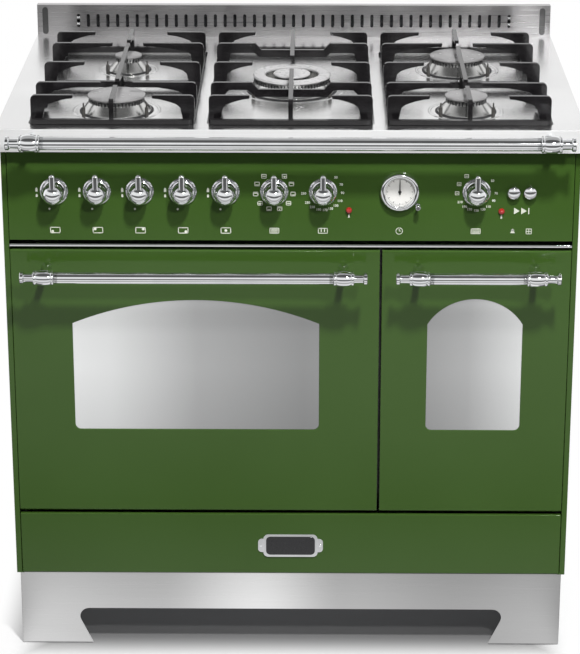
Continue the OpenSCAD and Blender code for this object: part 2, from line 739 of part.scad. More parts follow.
// Spindles turn in the taps, and the gas knobs slide on them
module spindle(i) color(zinc) bar_y(knob_x[i], [door_face - 24, tap_y[0] + 28], knob_z, spindle_r);
module spindle_1() spindle(0);
module spindle_2() spindle(1);
module spindle_3() spindle(2);
module spindle_4() spindle(3);
module spindle_5() spindle(4);

// A knob: a ball on a neck, with a flat lever above it. A gas knob is bored, another has its own stem.
neck_r = 9.5;
module knob(i) color(chrome) {
    back = press + 0.6;
    body_l = knob_out - back;
    lever_t = 8;
    lever_w = 6.5;
    tip = lever_reach - lever_w / 2;
    flare = asin(neck_r / knob_r);
    difference() {
        union() {
            turned_front(knob_x[i], door_face - back, knob_z) polygon(concat(
                [[0, 0], [knob_r - 1, 0], [knob_r - 1, 2], [neck_r, 3.5]],
                [for (k = [0:10]) let (a = flare - 90 + (180 - flare) * k / 10)
                    [knob_r * cos(a), body_l - knob_r + knob_r * sin(a)]]));
            translate([knob_x[i], 0, knob_z]) standing(door_face - knob_out + 8, lever_t)
                polygon(concat([[-lever_w * 0.7, 0], [lever_w * 0.7, 0]],
                    arc(0, tip, lever_w / 2, 0, 180, 8)));
        }
        if (i < 5) bar_y(knob_x[i], [door_face - 24 - press - 0.5, door_face], knob_z, spindle_r + running);
    }
    if (i >= 5) bar_y(knob_x[i], [door_face - back - 1, switch_y[0] + 26], knob_z, spindle_r);
}
module knob_1() knob(0);
module knob_2() knob(1);
module knob_3() knob(2);
module knob_4() knob(3);
module knob_5() knob(4);
module knob_6() knob(5);
module knob_7() knob(6);
module knob_8() knob(7);

// Doors

// Outline of a window: square shoulders under a flat arch
module window_outline(w, rise, grow) {
    half = w / 2 + grow;
    low = door_z + window_up - grow;
    side = window_side_h + 2 * grow;
    r = (half * half + rise * rise) / (2 * rise);
    span = asin(half / r);
    corner = 9 + max(grow, -8);
    polygon(concat(
        arc(corner - half, low + corner, corner, 180, 270, 5),
        arc(half - corner, low + corner, corner, 270, 360, 5),
        arc(0, low + side + rise - r, r, 90 - span, 90 + span, 28)));
}

skin_d = 20;
module door_skin(x, window_w, rise) color(green) {
    mid = (x[0] + x[1]) / 2;
    back = door_face + skin_d;
    round_off = 3;
    difference() {
        slab(x, [door_face, back], [door_z, door_top]);
        slab([x[0] + sheet, x[1] - sheet], [door_face + sheet, back - sheet],
            [door_z + sheet, door_top - sheet]);
        slab([x[0] + 14, x[1] - 14], [back - sheet - 1, back + 1], [door_z + 14, door_top - 14]);
        translate([mid, 0, 0]) standing(door_face - 1, sheet + 2) window_outline(window_w, rise, 0);
        for (hx = hinge_at(x)) hinge_notch(hx, lug_half + touch);
        for (z = [door_z, door_top]) translate([x[0] - 1, door_face, z]) rotate([45, 0, 0])
            translate([0, -round_off / 2, -round_off / 2]) cube([x[1] - x[0] + 2, round_off, round_off]);
    }
}
lug_half = ear_t / 2 + 7;
function hinge_at(x) = [x[0] + hinge_in_x, x[1] - hinge_in_x];
module hinge_notch(x, half)
    slab([x - half, x + half], [door_face + sheet + 0.2, door_back + 1],
        [door_z - 1, hinge_z + ear_r + 2.5]);
module main_door_skin() door_skin(main_x, main_window_w, main_rise);
module small_door_skin() door_skin(small_x, small_window_w, small_rise);

// Inner half of a door, with a window and two lugs that hold the hinge pins
inner_edge = 7;
pane_t = 4;
module door_inner(x, window_w) color(black) {
    mid = (x[0] + x[1]) / 2;
    front = door_face + skin_d;
    w = x[1] - x[0] - 2 * inner_edge;
    h = door_h - 2 * inner_edge;
    difference() {
        union() {
            translate([mid, 0, door_z + door_h / 2]) difference() {
                standing(front, door_back - front) polygon(rounded(w, h, 14));
                standing(front - 1, door_back - front + 1 - sheet) polygon(rounded(w - 4, h - 4, 12));
            }
            for (hx = hinge_at(x))
                slab([hx - lug_half, hx + lug_half], [door_face + sheet + 1, door_back],
                    [door_z + inner_edge - 4, hinge_z + 10]);
        }
        translate([mid, 0, door_z + window_up + window_side_h / 2])
            standing(door_back - sheet - 1, sheet + 2) polygon(rounded(window_w, window_side_h, 12));
        for (hx = hinge_at(x)) hinge_notch(hx, ear_t / 2 + 1.5);
    }
    for (hx = hinge_at(x)) bar_x([hx - ear_t / 2 - 5, hx + ear_t / 2 + 5], hinge_y, hinge_z, pin_r);
}
module main_door_inner() door_inner(main_x, main_window_w);
module small_door_inner() door_inner(small_x, small_window_w);

// Outer and inner panes
module door_glass(x, window_w, rise) color(glass) {
    mid = (x[0] + x[1]) / 2;
    lap = 10;
    translate([mid, 0, 0]) standing(door_face + sheet, pane_t) window_outline(window_w, rise, lap);
    translate([mid, 0, door_z + window_up + window_side_h / 2])
        standing(door_back - sheet - pane_t, pane_t)
            polygon(rounded(window_w + 2 * lap, window_side_h + 2 * lap, 6));
}
module main_door_glass() door_glass(main_x, main_window_w, main_rise);
module small_door_glass() door_glass(small_x, small_window_w, small_rise);

// Drawer

front_t = 6;
module drawer_front() color(green)
    difference() {
        slab([-door_x, door_x], [door_face, door_face + front_t], [drawer_z, drawer_top]);
        slab([-door_x + sheet, door_x - sheet], [door_face + sheet, door_face + front_t + 1],
            [drawer_z + sheet, drawer_top - sheet]);
    }
module drawer_box() color(zinc) {
    half = runner_x[0] - touch - 4;
    y = [door_face + sheet, door_face + sheet + drawer_d];
    z = [drawer_z + 8, drawer_z + 8 + drawer_box_h];
    difference() {
        slab([-half, half], y, z);
        slab([-half + sheet, half - sheet], [y[0] + sheet, y[1] - sheet], [z[0] + sheet, z[1] + 1]);
    }
    for (s = [0, 1]) mirror([s, 0, 0])
        slab([half, half + 4], [frame_y + 12, y[1]], [runner_z + 4, runner_z + runner_h - 4]);
}

// Pan supports

frame_w = 8;
frame_z = [-2, 8];
leg_w = 17;
tip_h = 5;
root_h = 14;
tip_gap = 25;
end_gap = 18;

// Outline of a finger: leg at 0, tip at reach. Heights are above the hob.
function finger(reach) = concat(
    [[0, frame_z[0]]],
    arc(7, grate_top - 7, 7, 180, 90, 4),
    [[reach - 1, grate_top], [reach, grate_top - 1], [reach - 1, grate_top - tip_h]],
    [for (i = [1:4]) [
        reach - 1 - (reach - leg_w - 12) * i / 4,
        grate_top - tip_h - (root_h - tip_h) * pow(i / 4, 1.6)]],
    [[leg_w + 5, grate_top - root_h - 5], [leg_w, frame_z[0]]]);

// Outline of a whole bar that drops in the middle to pass below a wide pan
function dropped(half) = concat(
    [[-half, frame_z[0]]], arc(7 - half, grate_top - 7, 7, 180, 90, 4),
    [[-62, grate_top], [-52, grate_top - 11], [52, grate_top - 11], [62, grate_top]],
    arc(half - 7, grate_top - 7, 7, 90, 0, 4), [[half, frame_z[0]], [half - leg_w, frame_z[0]]],
    [[half - leg_w - 5, grate_top - root_h - 5], [half - leg_w - 12, grate_top - 12], [68, grate_top - 12]],
    [[56, grate_top - 23], [-56, grate_top - 23], [-68, grate_top - 12]],
    [[leg_w + 12 - half, grate_top - 12], [leg_w + 5 - half, grate_top - root_h - 5],
        [leg_w - half, frame_z[0]]]);

// A pair of fingers that reach in from both sides at a distance y from the middle
module finger_pair(y, reach)
    for (s = [0, 1]) mirror([s, 0, 0]) translate([-grate_w / 2, 0, 0])
        standing(y - finger_t / 2, finger_t) polygon(finger(reach));

// A finger that reaches in from the front (s = 0) or the back (s = 1), up to a distance from the middle
module long_finger(s, stop)
    mirror([0, s, 0]) translate([0, -grate_l / 2, 0]) rotate([0, 0, 90])
        standing(-finger_t / 2, finger_t) polygon(finger(grate_l / 2 - stop));

module grate_frame() {
    translate([0, 0, frame_z[0]]) linear_extrude(height = frame_z[1] - frame_z[0]) difference() {
        polygon(rounded(grate_w, grate_l, 10, 4));
        polygon(rounded(grate_w - 2 * frame_w, grate_l - 2 * frame_w, 4, 3));
    }
    for (x = [-1, 1], y = [-1, 1])
        bar_z(x * (grate_w / 2 - 7), y * (grate_l / 2 - 7), [-well_depth, frame_z[0] + 4], 6);
}
module side_support() {
    grate_frame();
    slab([-grate_w / 2 + 1, grate_w / 2 - 1], [-frame_w / 2, frame_w / 2], frame_z);
    for (y = [-outer_row, 0, outer_row]) finger_pair(y, grate_w * 0.26);
    for (y = [-burner_row, burner_row]) finger_pair(y, grate_w / 2 - tip_gap);
    for (s = [0, 1]) long_finger(s, burner_row + end_gap);
    rotate([0, 0, 90]) standing(-finger_t / 2, finger_t) polygon([
        [end_gap - burner_row, grate_top], [burner_row - end_gap, grate_top],
        [burner_row - end_gap, grate_top - tip_h], [30, grate_top - root_h], [9, frame_z[0]],
        [-9, frame_z[0]], [-30, grate_top - root_h], [end_gap - burner_row, grate_top - tip_h]]);
}
module centre_support() {
    grate_frame();
    for (y = [-outer_row, 0, outer_row]) finger_pair(y, grate_w * 0.25);
    for (y = [-burner_row, burner_row]) standing(y - finger_t / 2, finger_t) polygon(dropped(grate_w / 2));
    for (s = [0, 1]) long_finger(s, 42);
}
module pan_support_left() color(iron) translate([grate_x[0], grate_y, hob_z]) side_support();
module pan_support_centre() color(iron) translate([grate_x[1], grate_y, hob_z]) centre_support();
module pan_support_right() color(iron) translate([grate_x[2], grate_y, hob_z]) side_support();

side_panels();
back_panel();
base_panel();
plinth();
levelling_feet();
control_panel();
trim_strip();
front_frame();
hob_top();
splashback();
hob_rail();
main_oven_liner();
small_oven_liner();
oven_seals();
side_racks();
wire_shelves();
fan_cover();
fan_motor();
grill_elements();
burner_bodies();
burner_caps();
igniters();
gas_rail();
oven_switches();
clock_case();
clock_dial();
indicator_lamps();
knob_bezels();
main_door_skin();
main_door_inner();
main_door_glass();
main_door_handle();
small_door_skin();
small_door_inner();
small_door_glass();
small_door_handle();
drawer_front();
drawer_box();
fan_wheel();
hour_hand();
minute_hand();
clock_stem();
pan_support_left();
pan_support_centre();
pan_support_right();
button_left();
button_right();
spindle_1();
spindle_2();
spindle_3();
spindle_4();
spindle_5();
knob_1();
knob_2();
knob_3();
knob_4();
knob_5();
knob_6();
knob_7();
knob_8();
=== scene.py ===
# %% [markdown]
# A dual fuel range cooker: a gas hob with five burners over a wide and a narrow electric oven, with a
# drawer below. The solids come from the CAD frame. This lesson gives them their finishes, rounds their
# edges, and adds the printed marks, beads, screws and plates that the frame leaves out.

# %% Load the frame
import math
import bmesh
import bpy
from mathutils import Matrix, Vector


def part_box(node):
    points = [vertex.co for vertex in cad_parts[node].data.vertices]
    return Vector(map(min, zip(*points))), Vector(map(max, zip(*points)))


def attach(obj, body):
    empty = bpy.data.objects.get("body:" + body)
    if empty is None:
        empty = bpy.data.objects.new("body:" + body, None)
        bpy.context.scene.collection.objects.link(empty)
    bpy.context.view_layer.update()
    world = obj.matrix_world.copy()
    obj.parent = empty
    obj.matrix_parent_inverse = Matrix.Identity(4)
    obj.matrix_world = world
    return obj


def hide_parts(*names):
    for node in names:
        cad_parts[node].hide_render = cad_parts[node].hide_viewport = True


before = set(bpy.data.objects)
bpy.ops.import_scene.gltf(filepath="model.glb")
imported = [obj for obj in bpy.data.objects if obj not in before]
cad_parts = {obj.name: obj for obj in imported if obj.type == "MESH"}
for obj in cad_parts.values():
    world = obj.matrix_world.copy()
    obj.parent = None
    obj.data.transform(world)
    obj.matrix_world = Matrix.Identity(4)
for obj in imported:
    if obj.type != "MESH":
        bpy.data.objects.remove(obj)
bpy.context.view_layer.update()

# %% [markdown]
# The camera comes first, because every later choice is judged through it. It stands four metres away
# and looks down by nineteen degrees with a long lens, so the cooker's sides hardly converge. The lens is
# shifted, which keeps the upright edges straight and still puts the cooker in the middle of the frame.

# %% Camera
camera_data = bpy.data.cameras.new("camera")
camera_data.sensor_width = 36
camera_data.lens = 132.4
camera_data.shift_y = -0.110
camera_data.clip_end = 50
LOOKS_DOWN, TURNED_LEFT = 18.91, 0.542
camera = bpy.data.objects.new("camera", camera_data)
camera.location = (0.0326, -3.7943, 1.8886)
camera.rotation_euler = (math.radians(90 - LOOKS_DOWN), 0, math.radians(TURNED_LEFT))
bpy.context.scene.collection.objects.link(camera)
bpy.context.scene.camera = camera
bpy.context.scene.view_settings.view_transform = "Standard"
print("camera at", tuple(camera.location))

# %% [markdown]
# A finish is a node tree on top of Blender's Principled shader. One helper makes the shader and sets
# the values that are the same all over. The others here make what a finish can follow: a noise pattern
# in metres on the object, the axes of a coordinate, a value mapped to another range, and a row of
# colours. With them each finish is a few lines that say what the real surface does.

# %% Helpers for shaders
def grey(value):
    """A neutral colour."""
    return (value, value, value)


def finish(name, colour, roughness, metallic=0.0, **sockets):
    """A new material with a Principled shader. Returns the material and its shader."""
    material = bpy.data.materials.new(name)
    material.use_nodes = True
    shader = material.node_tree.nodes["Principled BSDF"]
    shader.inputs["Base Color"].default_value = (*colour, 1)
    shader.inputs["Roughness"].default_value = roughness
    shader.inputs["Metallic"].default_value = metallic
    for socket, value in sockets.items():
        shader.inputs[socket.replace("_", " ")].default_value = value
    return material, shader


def split_axes(tree, output="Object"):
    """The X, Y and Z of a texture coordinate."""
    where = tree.nodes.new("ShaderNodeTexCoord")
    apart = tree.nodes.new("ShaderNodeSeparateXYZ")
    tree.links.new(where.outputs[output], apart.inputs["Vector"])
    return apart.outputs["X"], apart.outputs["Y"], apart.outputs["Z"]


def map_range(tree, value, low, high, first=0.0, last=1.0, kind="LINEAR"):
    """A value mapped from one range to another."""
    node = tree.nodes.new("ShaderNodeMapRange")
    node.interpolation_type = kind
    for name, number in (("From Min", low), ("From Max", high), ("To Min", first), ("To Max", last)):
        node.inputs[name].default_value = number
    tree.links.new(value, node.inputs["Value"])
    return node.outputs["Result"]


def colour_stops(tree, value, stops, kind="LINEAR"):
    """Colours along a value from 0 to 1. The first and the last (place, colour) sit at its ends."""
    node = tree.nodes.new("ShaderNodeValToRGB")
    elements = node.color_ramp.elements
    node.color_ramp.interpolation = kind
    for place, colour in stops[1:-1]:
        elements.new(place).color = (*colour, 1)
    elements[0].color = (*stops[0][1], 1)
    elements[-1].color = (*stops[-1][1], 1)
    tree.links.new(value, node.inputs["Fac"])
    return node.outputs["Color"]


def pattern(material, scale, stretch=(1, 1, 1), detail=3.0, kind="ShaderNodeTexNoise"):
    """A procedural pattern on object coordinates, stretched along the axes. Returns its value socket."""
    nodes, links = material.node_tree.nodes, material.node_tree.links
    where = nodes.new("ShaderNodeTexCoord")
    mapping = nodes.new("ShaderNodeMapping")
    mapping.inputs["Scale"].default_value = stretch
    texture = nodes.new(kind)
    texture.inputs["Scale"].default_value = scale
    if "Detail" in texture.inputs:
        texture.inputs["Detail"].default_value = detail
    links.new(where.outputs["Object"], mapping.inputs["Vector"])
    links.new(mapping.outputs["Vector"], texture.inputs["Vector"])
    return texture.outputs["Fac"] if "Fac" in texture.outputs else texture.outputs["Distance"]


print("shader, patterns and maps ready")

# %% [markdown]
# These helpers let a finish vary: a roughness or a colour that drifts with a pattern, a row of tints
# across the width, a bump, and the grain of brushed steel, which is a roughness and a bump together.

# %% Helpers for what varies
def drift_roughness(material, shader, value, low, high):
    """Roughness that follows a pattern between two values."""
    tree = material.node_tree
    tree.links.new(map_range(tree, value, 0.3, 0.7, low, high), shader.inputs["Roughness"])


def drift_colour(material, shader, value, first, second):
    """Colour that follows a pattern between two tints."""
    ramp = material.node_tree.nodes.new("ShaderNodeValToRGB")
    ramp.color_ramp.elements[0].position = 0.35
    ramp.color_ramp.elements[1].position = 0.65
    ramp.color_ramp.elements[0].color = (*first, 1)
    ramp.color_ramp.elements[1].color = (*second, 1)
    material.node_tree.links.new(value, ramp.inputs["Fac"])
    material.node_tree.links.new(ramp.outputs["Color"], shader.inputs["Base Color"])


def colour_along_x(material, shader, low, high, stops, kind="LINEAR"):
    """Colour that follows a row of stops from a low X to a high X, in metres."""
    tree = material.node_tree
    across = map_range(tree, split_axes(tree)[0], low, high)
    tree.links.new(colour_stops(tree, across, stops, kind), shader.inputs["Base Color"])


def raise_bump(material, shader, value, depth, strength=1.0):
    """A bump of the given depth in metres. A second call adds to the first."""
    bump = material.node_tree.nodes.new("ShaderNodeBump")
    bump.inputs["Strength"].default_value = strength
    bump.inputs["Distance"].default_value = depth
    before = shader.inputs["Normal"].links
    if before:
        material.node_tree.links.new(before[0].from_socket, bump.inputs["Normal"])
    material.node_tree.links.new(value, bump.inputs["Height"])
    material.node_tree.links.new(bump.outputs["Normal"], shader.inputs["Normal"])


BRUSHED = (6, 1400, 1400)


def brush(material, shader, low, high, depth):
    """Fine scratches along X: a roughness between two values and a bump that follow the same grain."""
    grain = pattern(material, 1.0, BRUSHED, detail=4.0)
    drift_roughness(material, shader, grain, low, high)
    raise_bump(material, shader, grain, depth)


print("helpers for finishes ready")

# %% [markdown]
# Vitreous enamel is coloured glass melted on to steel. It is deep and very glossy, and its surface is
# never quite flat: it has long, shallow waves from the firing, as orange peel has. A dark green with a
# low roughness gives the depth, and a fine, weak bump gives the waves. The black enamel of the frame and
# the ovens is the same glass with tiny pale specks. The burners' caps have a satin enamel, which is grey
# on the four round caps and paler on the wide burner in the middle.

# %% Enamels
green_enamel, shader = finish("green_enamel", (0.044, 0.096, 0.016), 0.08)
shader.inputs["Specular IOR Level"].default_value = 0.32
drift_colour(green_enamel, shader, pattern(green_enamel, 3.0), (0.041, 0.091, 0.014),
             (0.047, 0.101, 0.018))
drift_roughness(green_enamel, shader, pattern(green_enamel, 60.0), 0.06, 0.11)
raise_bump(green_enamel, shader, pattern(green_enamel, 260.0, detail=1.0), 0.00004)

black_enamel, shader = finish("black_enamel", (0.012, 0.012, 0.014), 0.25, Coat_Weight=0.3)
drift_colour(black_enamel, shader, pattern(black_enamel, 700.0, detail=1.0), (0.010, 0.010, 0.012),
             (0.019, 0.019, 0.021))
drift_roughness(black_enamel, shader, pattern(black_enamel, 80.0), 0.2, 0.34)
raise_bump(black_enamel, shader, pattern(black_enamel, 300.0, detail=1.0), 0.00004)

wok_enamel, shader = finish("wok_enamel", (0.42, 0.415, 0.418), 0.3)
drift_colour(wok_enamel, shader, pattern(wok_enamel, 40.0), (0.39, 0.385, 0.388),
             (0.46, 0.455, 0.458))
drift_roughness(wok_enamel, shader, pattern(wok_enamel, 120.0), 0.24, 0.36)

cap_enamel, shader = finish("cap_enamel", (0.22, 0.217, 0.218), 0.26)
drift_colour(cap_enamel, shader, pattern(cap_enamel, 40.0), (0.20, 0.197, 0.198),
             (0.24, 0.236, 0.238))
drift_roughness(cap_enamel, shader, pattern(cap_enamel, 120.0), 0.18, 0.28)
raise_bump(cap_enamel, shader, pattern(cap_enamel, 200.0, detail=1.0), 0.00001)
print("enamels: green, black, wide burner, caps")

# %% [markdown]
# Brushed steel has fine scratches that all run one way, here along the cooker's width. Each scratch is
# long and hair thin, so the noise is squeezed across the grain and stretched along it. Polished steel
# and chrome keep only a faint haze. Zinc-coated sheet shows the crystals of its coating as spangles.
# The plinth is one wide sheet. Its sheen is painted: a row of tints across its width gives broad pale and
# dark bands, which stand for light that the sheet would mirror. The hob's front fold scatters light more
# than the hob's top does, and the splashback's pressed beads are darker than its face, so each of these
# has a steel of its own.

# %% Metals
satin_steel, shader = finish("satin_steel", grey(0.60), 0.32, 1.0)
drift_colour(satin_steel, shader, pattern(satin_steel, 2.6, (1, 0.1, 0.3), 1.0), (0.58, 0.58, 0.59),
             grey(0.84))
brush(satin_steel, shader, 0.27, 0.36, 0.000012)

splash_steel, shader = finish("splash_steel", (0.42, 0.41, 0.41), 0.3, 1.0)
drift_colour(splash_steel, shader, pattern(splash_steel, 3.0, (1, 0.1, 0.3), 1.0), (0.50, 0.49, 0.495),
             (0.55, 0.54, 0.545))
brush(splash_steel, shader, 0.25, 0.36, 0.000003)

dark_steel, shader = finish("dark_steel", grey(0.14), 0.3, 1.0)
drift_roughness(dark_steel, shader, pattern(dark_steel, 1.0, BRUSHED), 0.26, 0.36)

plinth_steel, shader = finish("plinth_steel", grey(0.62), 0.32, 1.0)
# Painted sheen: broad pale and dark bands across the plinth's width, set in its colour.
PLINTH_PAINTED_SHEEN = [(0.0, grey(0.72)), (0.26, grey(0.58)), (0.44, grey(0.92)), (0.60, grey(0.54)),
                (0.80, grey(0.44)), (1.0, grey(0.54))]
colour_along_x(plinth_steel, shader, -0.45, 0.45, PLINTH_PAINTED_SHEEN, "EASE")
brush(plinth_steel, shader, 0.27, 0.36, 0.000006)

hob_steel, shader = finish("hob_steel", grey(0.82), 0.22, 1.0)
drift_colour(hob_steel, shader, pattern(hob_steel, 5.0, detail=1.0), grey(0.78), grey(0.86))
brush(hob_steel, shader, 0.18, 0.27, 0.00001)

fold_steel, shader = finish("fold_steel", grey(0.80), 0.5, 0.35)
grain = pattern(fold_steel, 1.0, BRUSHED, detail=4.0)
drift_colour(fold_steel, shader, grain, grey(0.77), grey(0.83))
drift_roughness(fold_steel, shader, grain, 0.44, 0.56)

bright_chrome, shader = finish("bright_chrome", (0.84, 0.85, 0.86), 0.06, 1.0)
drift_roughness(bright_chrome, shader, pattern(bright_chrome, 90.0), 0.04, 0.09)
drift_colour(bright_chrome, shader, pattern(bright_chrome, 30.0), (0.82, 0.83, 0.84), (0.87, 0.88, 0.89))

zinc_sheet, shader = finish("zinc_sheet", (0.46, 0.47, 0.49), 0.42, 1.0)
spangle = pattern(zinc_sheet, 130.0, kind="ShaderNodeTexVoronoi")
drift_colour(zinc_sheet, shader, spangle, (0.34, 0.35, 0.37), (0.56, 0.57, 0.59))
drift_roughness(zinc_sheet, shader, spangle, 0.34, 0.5)

burner_alloy, shader = finish("burner_alloy", (0.68, 0.68, 0.67), 0.3, 1.0)
drift_roughness(burner_alloy, shader, pattern(burner_alloy, 90.0, detail=1.0), 0.20, 0.26)
drift_colour(burner_alloy, shader, pattern(burner_alloy, 40.0), (0.64, 0.64, 0.63), (0.72, 0.72, 0.71))
raise_bump(burner_alloy, shader, pattern(burner_alloy, 1.0, (60, 60, 2600), detail=1.0), 0.000004)

gas_brass, shader = finish("gas_brass", (0.60, 0.42, 0.16), 0.32, 1.0)
drift_roughness(gas_brass, shader, pattern(gas_brass, 150.0), 0.25, 0.42)
print("metals: six steels, chrome, zinc, burner alloy, brass")

# %% [markdown]
# Sand-cast iron keeps the grain of its mould under a thin black enamel. Two bumps make it: coarse
# lumps a few millimetres across, and a fine grain on top of them. Rubber and plastic are dull and keep
# the grain of their moulds too. The lamps' lenses are clear red plastic over a polished inside, so a
# coat gives them a sharp highlight.

# %% Cast iron, rubber, ceramic, plastic and lenses
cast_iron, shader = finish("cast_iron", (0.009, 0.008, 0.009), 0.24)
shader.inputs["Specular IOR Level"].default_value = 0.55
drift_colour(cast_iron, shader, pattern(cast_iron, 90.0), (0.007, 0.0065, 0.007), (0.012, 0.011, 0.012))
drift_roughness(cast_iron, shader, pattern(cast_iron, 300.0), 0.12, 0.20)
raise_bump(cast_iron, shader, pattern(cast_iron, 240.0, detail=1.0), 0.00003)
raise_bump(cast_iron, shader, pattern(cast_iron, 900.0, detail=1.0), 0.000005)

seal_rubber, shader = finish("seal_rubber", (0.030, 0.030, 0.032), 0.7)
drift_roughness(seal_rubber, shader, pattern(seal_rubber, 200.0), 0.6, 0.8)
raise_bump(seal_rubber, shader, pattern(seal_rubber, 900.0), 0.00008)

white_ceramic, shader = finish("white_ceramic", (0.80, 0.79, 0.76), 0.3)
drift_roughness(white_ceramic, shader, pattern(white_ceramic, 300.0), 0.24, 0.4)
drift_colour(white_ceramic, shader, pattern(white_ceramic, 60.0), (0.78, 0.77, 0.74), (0.83, 0.82, 0.79))

igniter_ceramic, shader = finish("igniter_ceramic", (0.06, 0.058, 0.055), 0.4)
drift_colour(igniter_ceramic, shader, pattern(igniter_ceramic, 300.0), (0.045, 0.043, 0.040),
             (0.075, 0.072, 0.068))
drift_roughness(igniter_ceramic, shader, pattern(igniter_ceramic, 500.0), 0.3, 0.5)

black_plastic, shader = finish("black_plastic", (0.016, 0.016, 0.017), 0.42)
drift_roughness(black_plastic, shader, pattern(black_plastic, 400.0), 0.36, 0.5)
raise_bump(black_plastic, shader, pattern(black_plastic, 1800.0), 0.00003)

red_lens, shader = finish("red_lens", (0.36, 0.012, 0.010), 0.12, Coat_Weight=0.8)
drift_colour(red_lens, shader, pattern(red_lens, 500.0), (0.30, 0.008, 0.008), (0.42, 0.018, 0.014))
print("iron, rubber, ceramic, plastic, lens")

# %% [markdown]
# The oven windows are mirror-coated panes: from outside they show the room and not the oven. The
# coating is a thin metal, so the shader is mostly metallic. A painted reflection lies in its colour: a
# row of tints across the cooker's width, pale at both ends and dark in the middle. The inner panes are
# plain dark glass. The marks on the panel are fired on in a pale enamel, which is dull beside the green.

# %% Glass
mirror_glass, shader = finish("mirror_glass", grey(0.5), 0.06, 0.85)
# Painted reflection: the glass's colour is pale at the windows' outer ends and dark across the middle.
MIRROR_PAINTED_REFLECTION = [(0.0, (0.88, 0.89, 0.89))]
MIRROR_PAINTED_REFLECTION += [(place, (tint, tint * 1.01, tint * 1.01)) for place, tint in
                 ((0.10, 0.80), (0.28, 0.46), (0.50, 0.32), (0.74, 0.37), (0.84, 0.47))]
MIRROR_PAINTED_REFLECTION += [(1.0, (0.92, 0.93, 0.93))]
colour_along_x(mirror_glass, shader, -0.36, 0.40, MIRROR_PAINTED_REFLECTION)
drift_roughness(mirror_glass, shader, pattern(mirror_glass, 20.0), 0.04, 0.09)

dark_glass, shader = finish("dark_glass", (0.03, 0.032, 0.033), 0.05, Coat_Weight=1.0)
drift_roughness(dark_glass, shader, pattern(dark_glass, 20.0), 0.03, 0.08)

print_white, shader = finish("print_white", (0.78, 0.80, 0.70), 0.5)
drift_colour(print_white, shader, pattern(print_white, 400.0), (0.74, 0.76, 0.66), (0.82, 0.84, 0.74))
print("glass: mirror, dark; printed white")

# %% [markdown]
# Shapes are made in millimetres with bmesh and turned to metres at the end. A CAD node's mesh is loose
# triangles, so a copy is merged and its flat triangles are joined first. Then its sharp edges can be
# bevelled: a real pressed or moulded edge has a small radius, and that radius catches the light.

# %% Helpers for shapes
MM = 0.001


def merged(node):
    """A copy of a CAD node's mesh, in millimetres, with its triangles merged into faces."""
    bm = bmesh.new()
    bm.from_mesh(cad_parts[node].data)
    bmesh.ops.scale(bm, vec=(1000,) * 3, verts=bm.verts)
    bmesh.ops.remove_doubles(bm, verts=bm.verts, dist=0.002)
    bmesh.ops.dissolve_limit(bm, angle_limit=math.radians(0.3), verts=bm.verts, edges=bm.edges)
    return bm


def soften(bm, offset, where=None, segments=2, angle=30):
    """Bevels the edges that are sharper than an angle and whose middle passes the test."""
    edges = [e for e in bm.edges if len(e.link_faces) == 2
             and abs(e.calc_face_angle_signed(0)) > math.radians(angle)
             and (where is None or where((e.verts[0].co + e.verts[1].co) / 2, e))]
    if edges:
        bmesh.ops.bevel(bm, geom=edges, offset=offset, affect="EDGES", segments=segments,
                        profile=0.5, material=-1, clamp_overlap=True)
    return len(edges)


def add_piece(name, bm, material, body, replaces=(), smooth=35, turn=True):
    """Makes an object of a bmesh in millimetres. It rides on a body and may replace CAD nodes. The
    normals are weighted by area, so that a bevel never tilts the shading of the large face beside it."""
    bmesh.ops.remove_doubles(bm, verts=bm.verts, dist=0.0005)
    if turn:
        bmesh.ops.recalc_face_normals(bm, faces=bm.faces)
    bmesh.ops.scale(bm, vec=(MM,) * 3, verts=bm.verts)
    mesh = bpy.data.meshes.new(name)
    bm.to_mesh(mesh)
    bm.free()
    piece = bpy.data.objects.new(name, mesh)
    bpy.context.scene.collection.objects.link(piece)
    mesh.materials.append(material)
    mesh.shade_smooth()
    mesh.set_sharp_from_angle(angle=math.radians(smooth))
    weighted = piece.modifiers.new("flat_faces_stay_flat", "WEIGHTED_NORMAL")
    weighted.keep_sharp = True
    weighted.weight = 80
    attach(piece, body)
    if replaces:
        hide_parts(*replaces)
    print(f"{name}: {len(mesh.polygons)} faces")
    return piece


def dress(node, material, body, offset=0.5, segments=2, where=None, angle=30, smooth=35):
    """A CAD node's own shape with softened edges, which stands for the node."""
    bm = merged(node)
    soften(bm, offset, where, segments, angle)
    return add_piece(node + "_dressed", bm, material, body, (node,), smooth)


def give(material, *nodes):
    """Gives CAD nodes that stay a better material."""
    for node in nodes:
        mesh_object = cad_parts[node]
        if mesh_object.material_slots:
            for place in mesh_object.material_slots:
                place.material = material
        else:
            mesh_object.data.materials.append(material)


print("helpers for shapes ready")

# %% [markdown]
# Some shapes are simpler to make new: plates with rounded corners for the trims and marks, and turned
# shapes for the rings and screws. A plate starts as a cube. Its four long corners are bevelled first
# and the rim of its face after that. A turned shape is a short line of vertices, spun round an axis.

